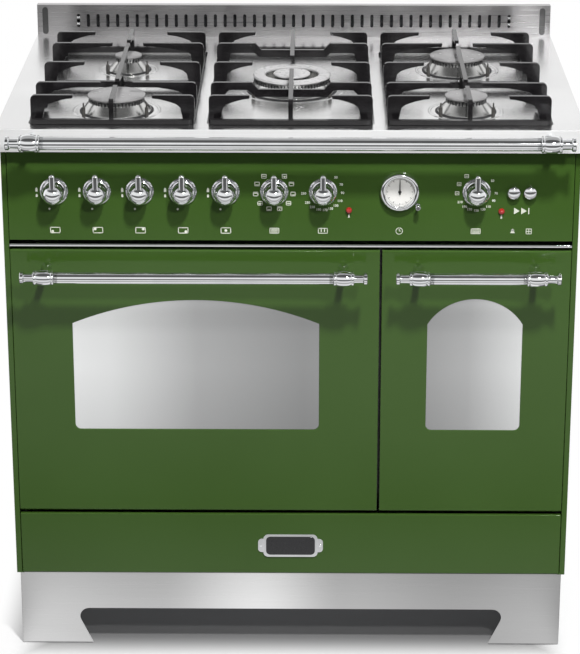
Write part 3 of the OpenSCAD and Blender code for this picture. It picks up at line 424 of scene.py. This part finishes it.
# %% Plates and turned shapes
def plate(bm, x, y, z, corner=0.0, rim=0.0, steps=5, rim_steps=2):
    """A plate that stands in X and Z, between low and high values, with its thickness along Y."""
    size = Vector((x[1] - x[0], y[1] - y[0], z[1] - z[0]))
    middle = Vector(((x[0] + x[1]) / 2, (y[0] + y[1]) / 2, (z[0] + z[1]) / 2))
    place = Matrix.Translation(middle) @ Matrix.Diagonal((*size, 1))
    verts = bmesh.ops.create_cube(bm, size=1, matrix=place)["verts"]
    if corner:
        uprights = {e for v in verts for e in v.link_edges
                    if abs(e.verts[0].co.y - e.verts[1].co.y) > 0.5 * size.y
                    and abs(e.verts[0].co.x - e.verts[1].co.x) < 0.001
                    and abs(e.verts[0].co.z - e.verts[1].co.z) < 0.001}
        done = bmesh.ops.bevel(bm, geom=list(uprights), offset=corner, affect="EDGES", segments=steps,
                               profile=0.5, material=-1, clamp_overlap=True)
        verts = list({v for f in done["faces"] for v in f.verts} | {v for v in verts if v.is_valid})
    if rim:
        front = [e for e in {e for v in verts for e in v.link_edges}
                 if all(abs(v.co.y - y[0]) < 0.001 for v in e.verts)]
        bmesh.ops.bevel(bm, geom=front, offset=rim, affect="EDGES", segments=rim_steps, profile=0.5,
                        material=-1, clamp_overlap=True)


def turned(bm, profile, centre, axis="Z", steps=48):
    """Spins a line of (radius, height) points round an axis through a centre. Height runs up on Z,
    towards the front on Y and to the right on X."""
    along = {"X": Vector((1, 0, 0)), "Y": Vector((0, -1, 0)), "Z": Vector((0, 0, 1))}[axis]
    outwards = Vector((0, 0, 1)) if axis == "X" else Vector((1, 0, 0))
    verts = [bm.verts.new(Vector(centre) + outwards * r + along * h) for r, h in profile]
    edges = [bm.edges.new(pair) for pair in zip(verts, verts[1:])]
    bmesh.ops.spin(bm, geom=verts + edges, cent=centre, axis=along, angle=math.tau, steps=steps,
                   use_merge=True)


def bead(bm, centre, radius, width, height, base, steps=72):
    """A pressed ring of a half-round section that rises from a flat face."""
    points = [(radius + width / 2 * math.cos(a), base + height * math.sin(a))
              for a in [math.pi * i / 6 for i in range(7)]]
    turned(bm, [(radius + width / 2, base - 0.4)] + points + [(radius - width / 2, base - 0.4)],
           centre, "Z", steps)


print("plates and turned shapes ready")

# %% [markdown]
# The sheet panels come first. The control panel, the doors' skins and the drawer's front are folded
# steel, so their front edges get a radius of a millimetre or so. On the doors only the outline of the
# front is rounded: a door's lower edge has notches for its hinges, and a radius further back would cross
# them.

# %% Green panels
# Millimetres: the front of the panels, the knobs' middles, and the radii of the rail and the handles.
FACE = -264.0
KNOB_X = [-364, -298, -232, -166, -100, -25, 50, 286]
KNOB_Z = 782.5
RAIL_R, HANDLE_R = 10.0, 9.0


def within(depth):
    """A test for the edges that lie within a depth behind the panels' front."""
    return lambda middle, edge: middle.y < FACE + depth


dress("control_panel", green_enamel, "cooker", 0.6, 2, within(4))
for door in ("main", "small"):
    dress(door + "_door_skin", green_enamel, door + "_door", 0.9, 3, within(0.6))
dress("drawer_front", green_enamel, "drawer", 1.4, 3, within(4))
dress("side_panels", green_enamel, "cooker", 0.7, 2)

# %% [markdown]
# The hob is pressed from one sheet. Its wells have rolled edges, so they are bevelled with more
# segments than the folds. The fold at its front stands out over the control panel as a lip, and its
# shade on the panel depends on how far: so the vertices of the lip are moved outwards after bevelling.
# Low beads ring each burner, where the press stiffens the sheet. The splashback is a slotted sheet with
# a pressed bead near each end. A black lining stands behind its slots, and four screws hold it.

# %% Hob and splashback
WELL_Z = 879.0
# The hob's front fold, in metres, and how far its lip stands out, in millimetres.
FOLD_FACES, LIP_VERTICES, LIP_OUT = -0.2685, -0.2682, 9.0
hob = dress("hob_top", hob_steel, "cooker", 1.6, 3,
            lambda middle, edge: middle.z > WELL_Z - 0.5)
hob.data.materials.append(fold_steel)
for face in hob.data.polygons:
    face.material_index = int(face.center.y < FOLD_FACES)
for vertex in hob.data.vertices:
    if vertex.co.y < LIP_VERTICES:
        vertex.co.y -= LIP_OUT * MM

# The splashback's beads, in metres: their distance from the middle, half their width, their back.
BEAD_X, BEAD_HALF, BEAD_Y = 0.434, 0.004, 0.3155
splash = dress("splashback", splash_steel, "cooker", 0.4, 2)
splash.data.materials.append(dark_steel)
for face in splash.data.polygons:
    at = face.center
    face.material_index = int(abs(abs(at.x) - BEAD_X) < BEAD_HALF and at.y < BEAD_Y)

bm = bmesh.new()
plate(bm, (-440, 440), (324, 325.5), (892, 934), 3, 0.3)
add_piece("splashback_lining", bm, black_enamel, "cooker")
bm = bmesh.new()
for x in (-376.2, 376.2):
    for z in (907.5, 918.5):
        turned(bm, [(0, 2.6), (1.6, 2.4), (2.8, 1.6), (3.2, 0.4), (3.2, -0.2)], (x, 316, z), "Y", 20)
add_piece("splashback_screws", bm, bright_chrome, "cooker")
dress("plinth", plinth_steel, "cooker", 0.5, 2)

# Each burner's middle and the radius of its skirt, in millimetres.
BURNERS = [(-274, -147, 55), (-274, 107, 35), (274, 107, 55), (274, -147, 45), (0, -20, 70)]
bm = bmesh.new()
for x, y, skirt in BURNERS:
    bead(bm, (x, y, 0), skirt + 12, 5, 1.1, WELL_Z)
add_piece("hob_beads", bm, hob_steel, "cooker")

# %% [markdown]
# Chrome: the rail and the handles first. Each is a bar between two turned fittings with rings, a waist
# and a swelling end, as on a lathe-turned baluster. One profile of (radius, distance) points makes them
# all. It is scaled to the bar and spun at both ends, and a post with a foot carries each fitting.

# %% Rail and handles
# Points of (radius, distance from the end), for a bar of 11 mm radius.
FITTING = [(0, 0), (10.5, 0), (11.5, 0.8), (11.5, 5.2), (10.5, 6), (8.8, 7), (8.3, 9), (8.5, 19),
           (9.4, 21), (13.2, 21.6), (14, 22.6), (14, 24.4), (13.2, 25.4), (12.8, 26), (14.2, 29),
           (14.8, 33), (15, 37.5), (14.8, 42), (14.2, 46), (12.8, 49), (13.2, 49.6), (14, 50.6),
           (14, 52.4), (13.2, 53.4), (11, 54.2), (11, 60)]


def bar_with_fittings(name, node, ends, y, z, face, radius, body, foot):
    """A round bar on two posts, with a turned fitting at each end, which stands for a CAD node."""
    bm = bmesh.new()
    thick, long = radius / 11, 0.97
    turned(bm, [(radius, ends[0] + 50), (radius, ends[1] - 50)], (0, y, z), "X", 40)
    out = face - y
    for end, side in ((ends[0], 1), (ends[1], -1)):
        turned(bm, [(r * thick, side * h * long) for r, h in FITTING], (end, y, z), "X", 40)
        turned(bm, [(0, 0), (foot, 0), (foot, 1.0), (foot - 1.6, 5), (5.6, 11), (5.2, 16), (5.2, out)],
               (end + side * 36.4, face, z), "Y", 28)
    return add_piece(name, bm, bright_chrome, body, (node,), 40)


bar_with_fittings("hob_rail_dressed", "hob_rail", (-430, 430), -316, 873.5, -270 - LIP_OUT, RAIL_R,
                  "cooker", 7)
for door, ends in (("main_door", (-415.5, 118.5)), ("small_door", (162.5, 415.5))):
    bar_with_fittings(door + "_handle_dressed", door + "_handle", ends, -314, 658, FACE, HANDLE_R,
                      door, 8.5)

# %% [markdown]
# Each knob is a ball on a thin base disc, with a flat lever across its top half. The ball is an arc of
# points, spun, and the lever is a plate with wide radii. A gas knob is pressed before it turns, so its
# base stays clear of the panel by more than it travels. An oven's knob keeps its stem through the
# panel. The trim, the bezels and the clock's rim only need their edges softened.

# %% Knobs and other chrome
dress("trim_strip", bright_chrome, "cooker", 0.4, 2)
dress("knob_bezels", bright_chrome, "cooker", 0.3, 2)
dress("clock_case", bright_chrome, "cooker", 0.3, 2)
dress("clock_stem", bright_chrome, "clock_stem", 0.2, 2)
BALL_R, PROUD = 16.5, 35.0
BASE = [(0, 4.7), (12.0, 4.7), (12.8, 5.2), (12.8, 5.9), (12.0, 6.4), (10.8, 6.6)]
ball = [(BALL_R * math.cos(a), PROUD - BALL_R + BALL_R * math.sin(a))
        for a in [math.radians(-44 + 134 * i / 20) for i in range(21)]]
for i, x in enumerate(KNOB_X, 1):
    bm = bmesh.new()
    turned(bm, BASE + ball, (x, FACE, KNOB_Z), "Y", 48)
    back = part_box(f"knob_{i}")[1][1] * 1000 - FACE
    if back > 5:
        turned(bm, [(0, 5), (4, 5), (4, -back), (0, -back)], (x, FACE, KNOB_Z), "Y", 24)
    plate(bm, (x - 4.9, x + 4.9), (FACE - 30.5, FACE - 20.5), (KNOB_Z + 6, KNOB_Z + 34), 4.6, 3.4, 8, 5)
    add_piece(f"knob_{i}_dressed", bm, bright_chrome, f"knob_{i}", (f"knob_{i}",), 40)
for button in ("button_left", "button_right"):
    dress(button, bright_chrome, button, 0.3, 2)

# %% [markdown]
# The pan supports are castings. Every edge of a casting is rounded, or it would chip, so all their
# edges are bevelled by more than a millimetre. Small rubber feet under the corners keep them off the
# hob's wells and ride on the supports, which lift off.

# %% Pan supports
for side, x in (("left", -274), ("centre", 0), ("right", 274)):
    node = "pan_support_" + side
    dress(node, cast_iron, node, 1.1, 3, angle=20)
    bm = bmesh.new()
    for sx in (-1, 1):
        for sy in (-1, 1):
            turned(bm, [(0, 0), (6.8, 0), (7.4, 0.6), (7.4, 3.6), (6.8, 4.2), (0, 4.2)],
                   (x + sx * 119, -20 + sy * 226, WELL_Z + 0.05), "Z", 32)
    add_piece("support_feet_" + side, bm, seal_rubber, node)

# %% [markdown]
# A burner's body is a casting with a machined crown, and gas leaves it through a ring of narrow ports.
# The ports are dark slots that stand a hair proud of the crown, which is simpler than cutting hundreds
# of them, and their black is painted shade for the holes. A thin black gasket seals each body to the hob.
# The caps lie loose on the crowns. The middle burner's ring and cap take the paler enamel.

# %% Burners
WIDE_BURNER = 0.09
dress("burner_bodies", burner_alloy, "cooker", 0.4, 2)
caps = dress("burner_caps", cap_enamel, "cooker", 0.4, 2, angle=25)
caps.data.materials.append(wok_enamel)
for face in caps.data.polygons:
    face.material_index = int(abs(face.center.x) < WIDE_BURNER)

bm = bmesh.new()
for x, y, skirt in BURNERS:
    turned(bm, [(skirt + r, h) for r, h in ((0.2, 0.1), (0.4, 1.0), (1.8, 1.2), (3.0, 0.9), (3.2, 0.1))],
           (x, y, WELL_Z), "Z", 72)
add_piece("burner_gaskets", bm, seal_rubber, "cooker")

bm = bmesh.new()
# The ports' black is painted shade for holes that are not cut.
CROWNS, PORT_STEP, PORT = (43.5, 20.5, 43.5, 31.5, 61.0), 5.6, (0.7, 1.9, 7.5)
for (x, y, _), crown in zip(BURNERS, CROWNS):
    count = round(math.tau * crown / PORT_STEP)
    for i in range(count):
        place = (Matrix.Translation((x, y, WELL_Z + 18.0)) @ Matrix.Rotation(math.tau * i / count, 4, "Z")
                 @ Matrix.Translation((crown, 0, 0)) @ Matrix.Diagonal((*PORT, 1)))
        bmesh.ops.create_cube(bm, size=1, matrix=place)
add_piece("flame_ports", bm, black_enamel, "cooker")

# %% [markdown]
# Each oven window node holds two panes. The outer one is mirror glass behind the green skin, and the
# inner one is dark. They are parted by their depth, and each is a piece of its own.

# %% Windows
BETWEEN_PANES = -246


def pane_of(node, outer):
    """The outer or the inner pane of a window node."""
    bm = merged(node)
    gone = [f for f in bm.faces if (f.calc_center_median().y < BETWEEN_PANES) != outer]
    bmesh.ops.delete(bm, geom=gone, context="FACES")
    soften(bm, 0.3, None, 1)
    return bm


for door in ("main", "small"):
    body, node = door + "_door", door + "_door_glass"
    add_piece(door + "_window_outer", pane_of(node, True), mirror_glass, body,
              (node,))
    add_piece(door + "_window_inner", pane_of(node, False), dark_glass, body)

# %% [markdown]
# The clock has a white enamelled dial, black hands and sixty ticks, with a longer one at each hour. The
# ticks are printed, so they are thin bars on the dial, turned round its middle. Two red lamps beside
# the knobs show that the ovens heat.

# %% Clock and lamps
dress("clock_dial", white_ceramic, "cooker", 0.1, 1)
dress("hour_hand", black_plastic, "hour_hand", 0.1, 1)
dress("minute_hand", black_plastic, "minute_hand", 0.1, 1)
dress("indicator_lamps", red_lens, "cooker", 0.2, 2)

CLOCK, TICK_Y, TICK_R = (168.0, 783.5), -268.05, 21.2
bm = bmesh.new()
for i in range(60):
    length, width = (3.2, 0.8) if i % 5 == 0 else (1.4, 0.35)
    turn = Matrix.Translation((CLOCK[0], 0, CLOCK[1])) @ Matrix.Rotation(math.tau * i / 60, 4, "Y")
    out = Matrix.Translation((0, TICK_Y, TICK_R - length / 2))
    bmesh.ops.create_cube(bm, size=1, matrix=turn @ out @ Matrix.Diagonal((width, 0.12, length, 1)))
add_piece("clock_ticks", bm, black_plastic, "cooker")

# %% [markdown]
# The marks on the control panel are fired on in pale enamel. They are thin plates that stand a tenth
# of a millimetre proud. Four helpers make them all: a bar that can be turned, the outline of a
# rectangle, a dot, and a number in the plain font that Blender has built in.

# %% Helpers for marks
INK = (FACE - 0.12, FACE + 0.05)


def mark(bm, x, z, w, h, turn=0.0):
    """A printed bar, w wide and h high, turned clockwise by an angle in degrees."""
    place = (Matrix.Translation((x, sum(INK) / 2, z)) @ Matrix.Rotation(math.radians(turn), 4, "Y")
             @ Matrix.Diagonal((w, INK[1] - INK[0], h, 1)))
    bmesh.ops.create_cube(bm, size=1, matrix=place)


def mark_square(bm, x, z, w, h, line=0.5):
    """The outline of a rectangle."""
    for s in (-1, 1):
        mark(bm, x + s * (w - line) / 2, z, line, h)
        mark(bm, x, z + s * (h - line) / 2, w, line)


def mark_dot(bm, x, z, r):
    """A filled round dot."""
    place = Matrix.Translation((x, sum(INK) / 2, z)) @ Matrix.Rotation(math.radians(90), 4, "X")
    bmesh.ops.create_cone(bm, cap_ends=True, segments=16, radius1=r, radius2=r,
                          depth=INK[1] - INK[0], matrix=place)


def mark_number(words, x, z, height):
    """A number in the plain built-in font, made a mesh and laid on the panel."""
    curve = bpy.data.curves.new("number", "FONT")
    curve.body = words
    curve.size = height / 0.7
    curve.align_x, curve.align_y = "CENTER", "CENTER"
    curve.extrude = (INK[1] - INK[0]) / 2
    curve.offset = 0.10
    curve.resolution_u = 3
    holder = bpy.data.objects.new("number", curve)
    bpy.context.scene.collection.objects.link(holder)
    mesh = bpy.data.meshes.new_from_object(holder)
    bpy.data.objects.remove(holder)
    mesh.transform(Matrix.Translation((x, sum(INK) / 2, z)) @ Matrix.Rotation(math.radians(90), 4, "X"))
    return mesh


print("helpers for marks ready")

# %% [markdown]
# Each gas knob has a large flame and a small one at its left, a spark below, and a square underneath
# that shows with a dot which burner it serves.

# %% Marks for the gas knobs
ICON_Z = 719
FIRST_DOTS = [(-1, -1), (-1, 1), (1, 1), (1, -1), (0, 0)]
bm = bmesh.new()
for x, (dx, dz) in zip(KNOB_X[:5], FIRST_DOTS):
    mark(bm, x - 27, KNOB_Z + 1, 3.6, 4.6)
    mark(bm, x - 27, KNOB_Z + 4, 2.2, 2.2, 45)
    mark(bm, x - 27, KNOB_Z - 8, 3.0, 3.6)
    mark(bm, x - 27, KNOB_Z - 6, 1.8, 1.8, 45)
    mark(bm, x - 8, KNOB_Z - 29, 2.8, 2.8, 45)
    mark_square(bm, x, ICON_Z, 16, 10, 1.2)
    mark_dot(bm, x + dx * 4.2, ICON_Z + dz * 2.0, 2.2)
add_piece("gas_marks", bm, print_white, "cooker")

# %% [markdown]
# The wide oven's first knob has ten small squares round it, one for each function. The temperature
# knobs have plain numbers instead. `around` gives a place on a circle about a knob, by its angle.

# %% Marks round the oven knobs
FUNCTION_KNOB, HEAT_KNOB, SMALL_OVEN_KNOB = KNOB_X[5], KNOB_X[6], KNOB_X[7]


def around(x, radius, degrees):
    """The X and Z of a place on a circle about a knob, with the angle clockwise from its top."""
    a = math.radians(degrees)
    return x + radius * math.sin(a), KNOB_Z + radius * math.cos(a)


bm = bmesh.new()
for k in range(1, 11):
    x, z = around(FUNCTION_KNOB, 29, k * 32.7)
    mark_square(bm, x, z, 8.0, 7.0, 1.1)
    mark(bm, x, z + (k % 3 - 1) * 1.3, 5.0, 1.2)
    if k % 2:
        mark(bm, x, z - 1.4, 1.6, 1.6, 45)
for degrees in (266, 295, 328):
    x, z = around(SMALL_OVEN_KNOB, 30, degrees)
    mark_square(bm, x, z, 6.6, 6.0, 0.9)
    mark(bm, x, z, 3.6, 1.0)
print("squares round the oven knobs made")

# %% [markdown]
# Under the knobs stand simple signs: an oven with three heating bars, one with two, a clock, a bell and
# a grid. Small flames stand under the two lamps, and two triangles with a bar under the buttons. Every
# sign is built of a few bars in the same mesh.

# %% Signs under the knobs
for x in (FUNCTION_KNOB, SMALL_OVEN_KNOB):
    mark_square(bm, x, ICON_Z, 15, 9, 1.1)
    for dz in (-2, 0, 2):
        mark(bm, x, ICON_Z + dz, 11, 0.9)
mark_square(bm, HEAT_KNOB, ICON_Z, 15, 9, 1.1)
mark(bm, HEAT_KNOB - 2.5, ICON_Z + 0.6, 1.4, 5)
mark(bm, HEAT_KNOB + 2.5, ICON_Z + 0.6, 1.4, 5)
for step in range(12):
    a = math.tau * step / 12
    mark(bm, CLOCK[0] + 5 * math.sin(a), ICON_Z + 5 * math.cos(a), 2.8, 0.9, math.degrees(a))
mark(bm, CLOCK[0], ICON_Z + 1.4, 0.9, 3.6)
mark(bm, CLOCK[0] + 1.2, ICON_Z, 2.8, 0.9)
BELL_X, GRID_X = 343, 368
for dz, w, h, turn in ((2, 3.4, 3.4, 45), (0.5, 4.6, 4, 0), (-2.2, 7, 1.1, 0)):
    mark(bm, BELL_X, ICON_Z + dz, w, h, turn)
mark_square(bm, GRID_X, ICON_Z, 9, 9, 1.0)
mark(bm, GRID_X, ICON_Z, 0.9, 8)
mark(bm, GRID_X, ICON_Z, 8, 0.9)
for x, z in ((90, 752.5), (325, 751.5)):
    mark(bm, x, z - 10, 2.6, 3.4)
    mark(bm, x, z - 7.6, 1.6, 1.6, 45)
TRIANGLE_Z = 752
for start in (345, 356):
    for step in range(5):
        mark(bm, start + 1.6 * step, TRIANGLE_Z, 1.3, 10 - 2.0 * step)
mark(bm, 367, TRIANGLE_Z, 1.4, 10)
print("signs under the knobs made")

# %% [markdown]
# The temperatures run from 50 in steps of 20, up to 250 for the wide oven and 210 for the narrow one.
# Their angles follow the thermostat, so they aren't quite even.

# %% Numbers round the temperature knobs
HEAT_ANGLES = (41, 68, 94, 120, 139, 157, 174, 193, 213, 233, 264)
SMALL_OVEN_ANGLES = (53, 94, 118, 142, 160, 180, 200, 217, 237)
for knob, angles in ((HEAT_KNOB, HEAT_ANGLES), (SMALL_OVEN_KNOB, SMALL_OVEN_ANGLES)):
    for i, degrees in enumerate(angles):
        bm.from_mesh(mark_number(str(50 + 20 * i), *around(knob, 30, degrees), 3.7))
add_piece("oven_marks", bm, print_white, "cooker")

# %% [markdown]
# A plain plate with a polished rim fills the place in the middle of the drawer's front. It is blank. The
# rim has an ear at each side for its screw, so it is made of two plates that cross.

# %% Plain plate on the drawer
bm = bmesh.new()
plate(bm, (-44, 44), (FACE - 2.4, FACE + 0.2), (163, 203), 8, 0.8)
plate(bm, (-52.5, 52.5), (FACE - 1.6, FACE + 0.2), (171, 195), 6, 0.6)
for x in (-47.8, 47.8):
    turned(bm, [(0, 2.9), (1.4, 2.7), (2.2, 2.1), (2.4, 1.2)], (x, FACE, 183), "Y", 20)
add_piece("drawer_plate_rim", bm, bright_chrome, "drawer")
bm = bmesh.new()
plate(bm, (-39.5, 39.5), (FACE - 2.9, FACE - 2.0), (167, 199), 7, 0.3)
add_piece("drawer_plate", bm, black_enamel, "drawer")

# %% [markdown]
# The back is held by a row of screws along each edge. Their heads are turned. The cross in a head is
# not cut: two thin dark bars lie on it, and their dark is painted shade for the cut.

# %% Screws of the back
bm, cut_shades = bmesh.new(), bmesh.new()
low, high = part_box("back_panel")
INSET = 14
edge_x, low_z, high_z = high[0] * 1000 - INSET, low[2] * 1000 + INSET, high[2] * 1000 - INSET
back_y = high[1] * 1000
places = [(s * edge_x, low_z + (high_z - low_z) * i / 4) for s in (-1, 1) for i in range(5)]
places += [(edge_x * (i / 2 - 1), z) for i in (1, 2, 3) for z in (low_z, high_z)]
for x, z in places:
    turned(bm, [(0, -2.0), (2.2, -1.8), (3.6, -1.1), (4.0, -0.3), (4.0, 0.3)], (x, back_y, z), "Y", 20)
    # Painted shade: two dark bars stand for the shade in each head's cross.
    for w, h in ((3.4, 0.7), (0.7, 3.4)):
        at = Matrix.Translation((x, back_y + 1.95, z)) @ Matrix.Diagonal((w, 0.2, h, 1))
        bmesh.ops.create_cube(cut_shades, size=1, matrix=at)
add_piece("back_screws", bm, satin_steel, "cooker")
add_piece("back_screw_cut_shades", cut_shades, black_plastic, "cooker")

# %% [markdown]
# What stays as the CAD made it gets its finish here: the frame, ovens, racks, fan, gas pipe and back.

# %% Finishes for the nodes that stay
give(zinc_sheet, "back_panel", "base_panel", "drawer_box", "fan_wheel", "fan_motor",
     *[f"spindle_{i}" for i in range(1, 6)])
give(black_enamel, "front_frame", "main_oven_liner", "small_oven_liner", "fan_cover",
     "main_door_inner", "small_door_inner")
give(black_plastic, "levelling_feet", "oven_switches")
give(bright_chrome, "side_racks", "wire_shelves")
give(seal_rubber, "oven_seals")
give(cast_iron, "grill_elements")
give(igniter_ceramic, "igniters")
give(gas_brass, "gas_rail")
print("finishes given to the nodes that stay")

# %% [markdown]
# The studio: a pale floor that keeps the lamps' shadow, with more shadow painted under the cooker, and a
# white world for the camera. What polished parts mirror matters as much as what lights them. A real
# studio is bright above and behind, and dark at eye level on the camera's side, and that dark line is
# what makes chrome look like chrome. So reflected rays see a dark horizon under a bright band in front,
# white behind, and a floor that glows, painted bright close by and dark far off.

# %% Helpers for the studio
def spread(tree, value, low, high, first, last):
    """A value mapped smoothly from one range to another."""
    return map_range(tree, value, low, high, first, last, "SMOOTHSTEP")


def combine(tree, kind, first, second):
    """Math on two values. Either may be a socket or a number."""
    node = tree.nodes.new("ShaderNodeMath")
    node.operation = kind
    for place, value in enumerate((first, second)):
        if isinstance(value, (int, float)):
            node.inputs[place].default_value = value
        else:
            tree.links.new(value, node.inputs[place])
    return node.outputs["Value"]


print("helpers for the studio ready")

# %% [markdown]
# The floor is a wide sheet of paper. A shadow is painted into its colour, deepest under the cooker, and
# within ten centimetres past the plinth it fades to plain white, which only the camera sees. Polished
# parts
# see a painted glow in bands instead: the lit paper near the cooker, the dark room beyond it, and painted
# shade beside the cooker.

# %% Floor
floor_bm = bmesh.new()
bmesh.ops.create_grid(floor_bm, x_segments=1, y_segments=1, size=4)
floor_mesh = bpy.data.meshes.new("floor")
floor_bm.to_mesh(floor_mesh)
floor_bm.free()
floor = bpy.data.objects.new("floor", floor_mesh)
bpy.context.scene.collection.objects.link(floor)
floor_material = bpy.data.materials.new("floor")
floor_material.use_nodes = True
tree = floor_material.node_tree
nodes, links = tree.nodes, tree.links
matt = nodes["Principled BSDF"]
matt.inputs["Roughness"].default_value = 0.9
x, y, _ = split_axes(tree)
# How far a point of the floor lies from the plinth's outline, in metres.
HALF_WIDE, HALF_DEEP, MIDDLE_Y = 0.395, 0.285, 0.03
aside = combine(tree, "ABSOLUTE", x, 0.0)
ahead = combine(tree, "ABSOLUTE", combine(tree, "SUBTRACT", y, MIDDLE_Y), 0.0)
away = combine(tree, "MAXIMUM", combine(tree, "SUBTRACT", aside, HALF_WIDE),
               combine(tree, "SUBTRACT", ahead, HALF_DEEP))
path = nodes.new("ShaderNodeLightPath")
tint = nodes.new("ShaderNodeCombineColor")
bounce = combine(tree, "SUBTRACT", 1.0, combine(tree, "MULTIPLY", path.outputs["Is Diffuse Ray"], 0.5))
# Painted shadow: the floor's colour darkens from 0.94 to 0.17 towards and under the cooker.
shade = combine(tree, "MULTIPLY", spread(tree, away, -0.03, 0.07, 0.17, 0.94), bounce)
for channel in ("Red", "Green", "Blue"):
    links.new(shade, tint.inputs[channel])
links.new(tint.outputs["Color"], matt.inputs["Base Color"])
plain = nodes.new("ShaderNodeEmission")
plain.inputs["Strength"].default_value = 1.0
near_or_far = nodes.new("ShaderNodeMixShader")
past_shade = spread(tree, away, 0.02, 0.10, 0.0, 1.0)
links.new(combine(tree, "MULTIPLY", past_shade, path.outputs["Is Camera Ray"]), near_or_far.inputs["Fac"])
links.new(matt.outputs["BSDF"], near_or_far.inputs[1])
links.new(plain.outputs["Emission"], near_or_far.inputs[2])
mirrored = nodes.new("ShaderNodeEmission")
# What polished parts see of the floor in front, as (Y in metres, brightness).
BANDS = [(-2.9, 0.10), (-2.6, 0.14), (-2.35, 0.45), (-2.1, 0.78), (-1.5, 0.90), (-1.15, 0.70),
         (-0.8, 0.34), (-0.55, 0.75), (-0.4, 0.95)]
FAR, NEAR = BANDS[0][0], BANDS[-1][0]
along = map_range(tree, y, FAR, NEAR)
tints = [((place - FAR) / (NEAR - FAR), grey(strength)) for place, strength in BANDS]
links.new(colour_stops(tree, along, tints), mirrored.inputs["Color"])
# Painted shade in the floor's glow: it dims beside the cooker.
in_shade = combine(tree, "MULTIPLY", spread(tree, aside, 0.42, 0.50, 0.0, 0.88),
                   spread(tree, y, -0.6, -0.35, 0.0, 1.0))
links.new(combine(tree, "SUBTRACT", 1.0, in_shade), mirrored.inputs["Strength"])
seen = nodes.new("ShaderNodeMixShader")
links.new(path.outputs["Is Glossy Ray"], seen.inputs["Fac"])
links.new(near_or_far.outputs["Shader"], seen.inputs[1])
links.new(mirrored.outputs["Emission"], seen.inputs[2])
links.new(seen.outputs["Shader"], nodes["Material Output"].inputs["Surface"])
floor_mesh.materials.append(floor_material)
print("floor made")

# %% [markdown]
# The world is white for the camera and weak for everything else, so the lamps make the shadows. Mirrored
# rays see a bright band between two heights, as of a studio's lit wall, with a dark horizon below it and
# a dark ceiling above. Behind the cooker they see white, which is weaker overhead.

# %% World
world = bpy.data.worlds.new("studio")
bpy.context.scene.world = world
world.use_nodes = True
tree = world.node_tree
nodes, links = tree.nodes, tree.links
soft = nodes["Background"]
soft.inputs["Color"].default_value = (1, 1, 1, 1)
soft.inputs["Strength"].default_value = 0.14
white = nodes.new("ShaderNodeBackground")
white.inputs["Color"].default_value = (1, 1, 1, 1)
_, y, z = split_axes(tree, "Generated")
wall = combine(tree, "MINIMUM", spread(tree, z, -0.02, 0.12, 0.12, 0.9),
               spread(tree, z, 0.5, 0.66, 0.9, 0.10))
behind = combine(tree, "MULTIPLY", spread(tree, y, -0.26, -0.02, 0.10, 1.0),
                 spread(tree, z, 0.5, 0.85, 1.0, 0.45))
path = nodes.new("ShaderNodeLightPath")
direct = combine(tree, "MAXIMUM", path.outputs["Is Camera Ray"], path.outputs["Is Transmission Ray"])
glow = combine(tree, "MAXIMUM", combine(tree, "MAXIMUM", wall, behind), direct)
links.new(glow, white.inputs["Strength"])
bright = combine(tree, "MAXIMUM", direct, path.outputs["Is Glossy Ray"])
mix = nodes.new("ShaderNodeMixShader")
links.new(bright, mix.inputs["Fac"])
links.new(soft.outputs["Background"], mix.inputs[1])
links.new(white.outputs["Background"], mix.inputs[2])
links.new(mix.outputs["Shader"], nodes["World Output"].inputs["Surface"])
print("world made")

# %% [markdown]
# Two small lamps stand high in front and to the right. The higher one throws the lip's shade on the
# panel, and the lower one, which chrome mirrors, throws the handles' shadows. A wide weak lamp overhead
# fills the hob.

# %% Lamps
def lamp(name, place, target, size, power, mirrored=False):
    """A square area lamp that looks at a point. Polished parts mirror it only when asked to."""
    data = bpy.data.lights.new(name, "AREA")
    data.size = size
    data.energy = power
    holder = bpy.data.objects.new(name, data)
    holder.visible_glossy = mirrored
    holder.location = place
    holder.rotation_euler = (Vector(target) - Vector(place)).to_track_quat("-Z", "Y").to_euler()
    bpy.context.scene.collection.objects.link(holder)


FRONT_OF_COOKER = (0, -0.2, 0.5)
lamp("high_lamp", (0.5, -1.95, 3.35), FRONT_OF_COOKER, 0.25, 104)
lamp("key_lamp", (0.9, -2.75, 2.65), FRONT_OF_COOKER, 0.3, 38, True)
lamp("top_lamp", (0, -0.3, 3.0), (0, 0, 0.5), 2.2, 14)
print("lamps made")
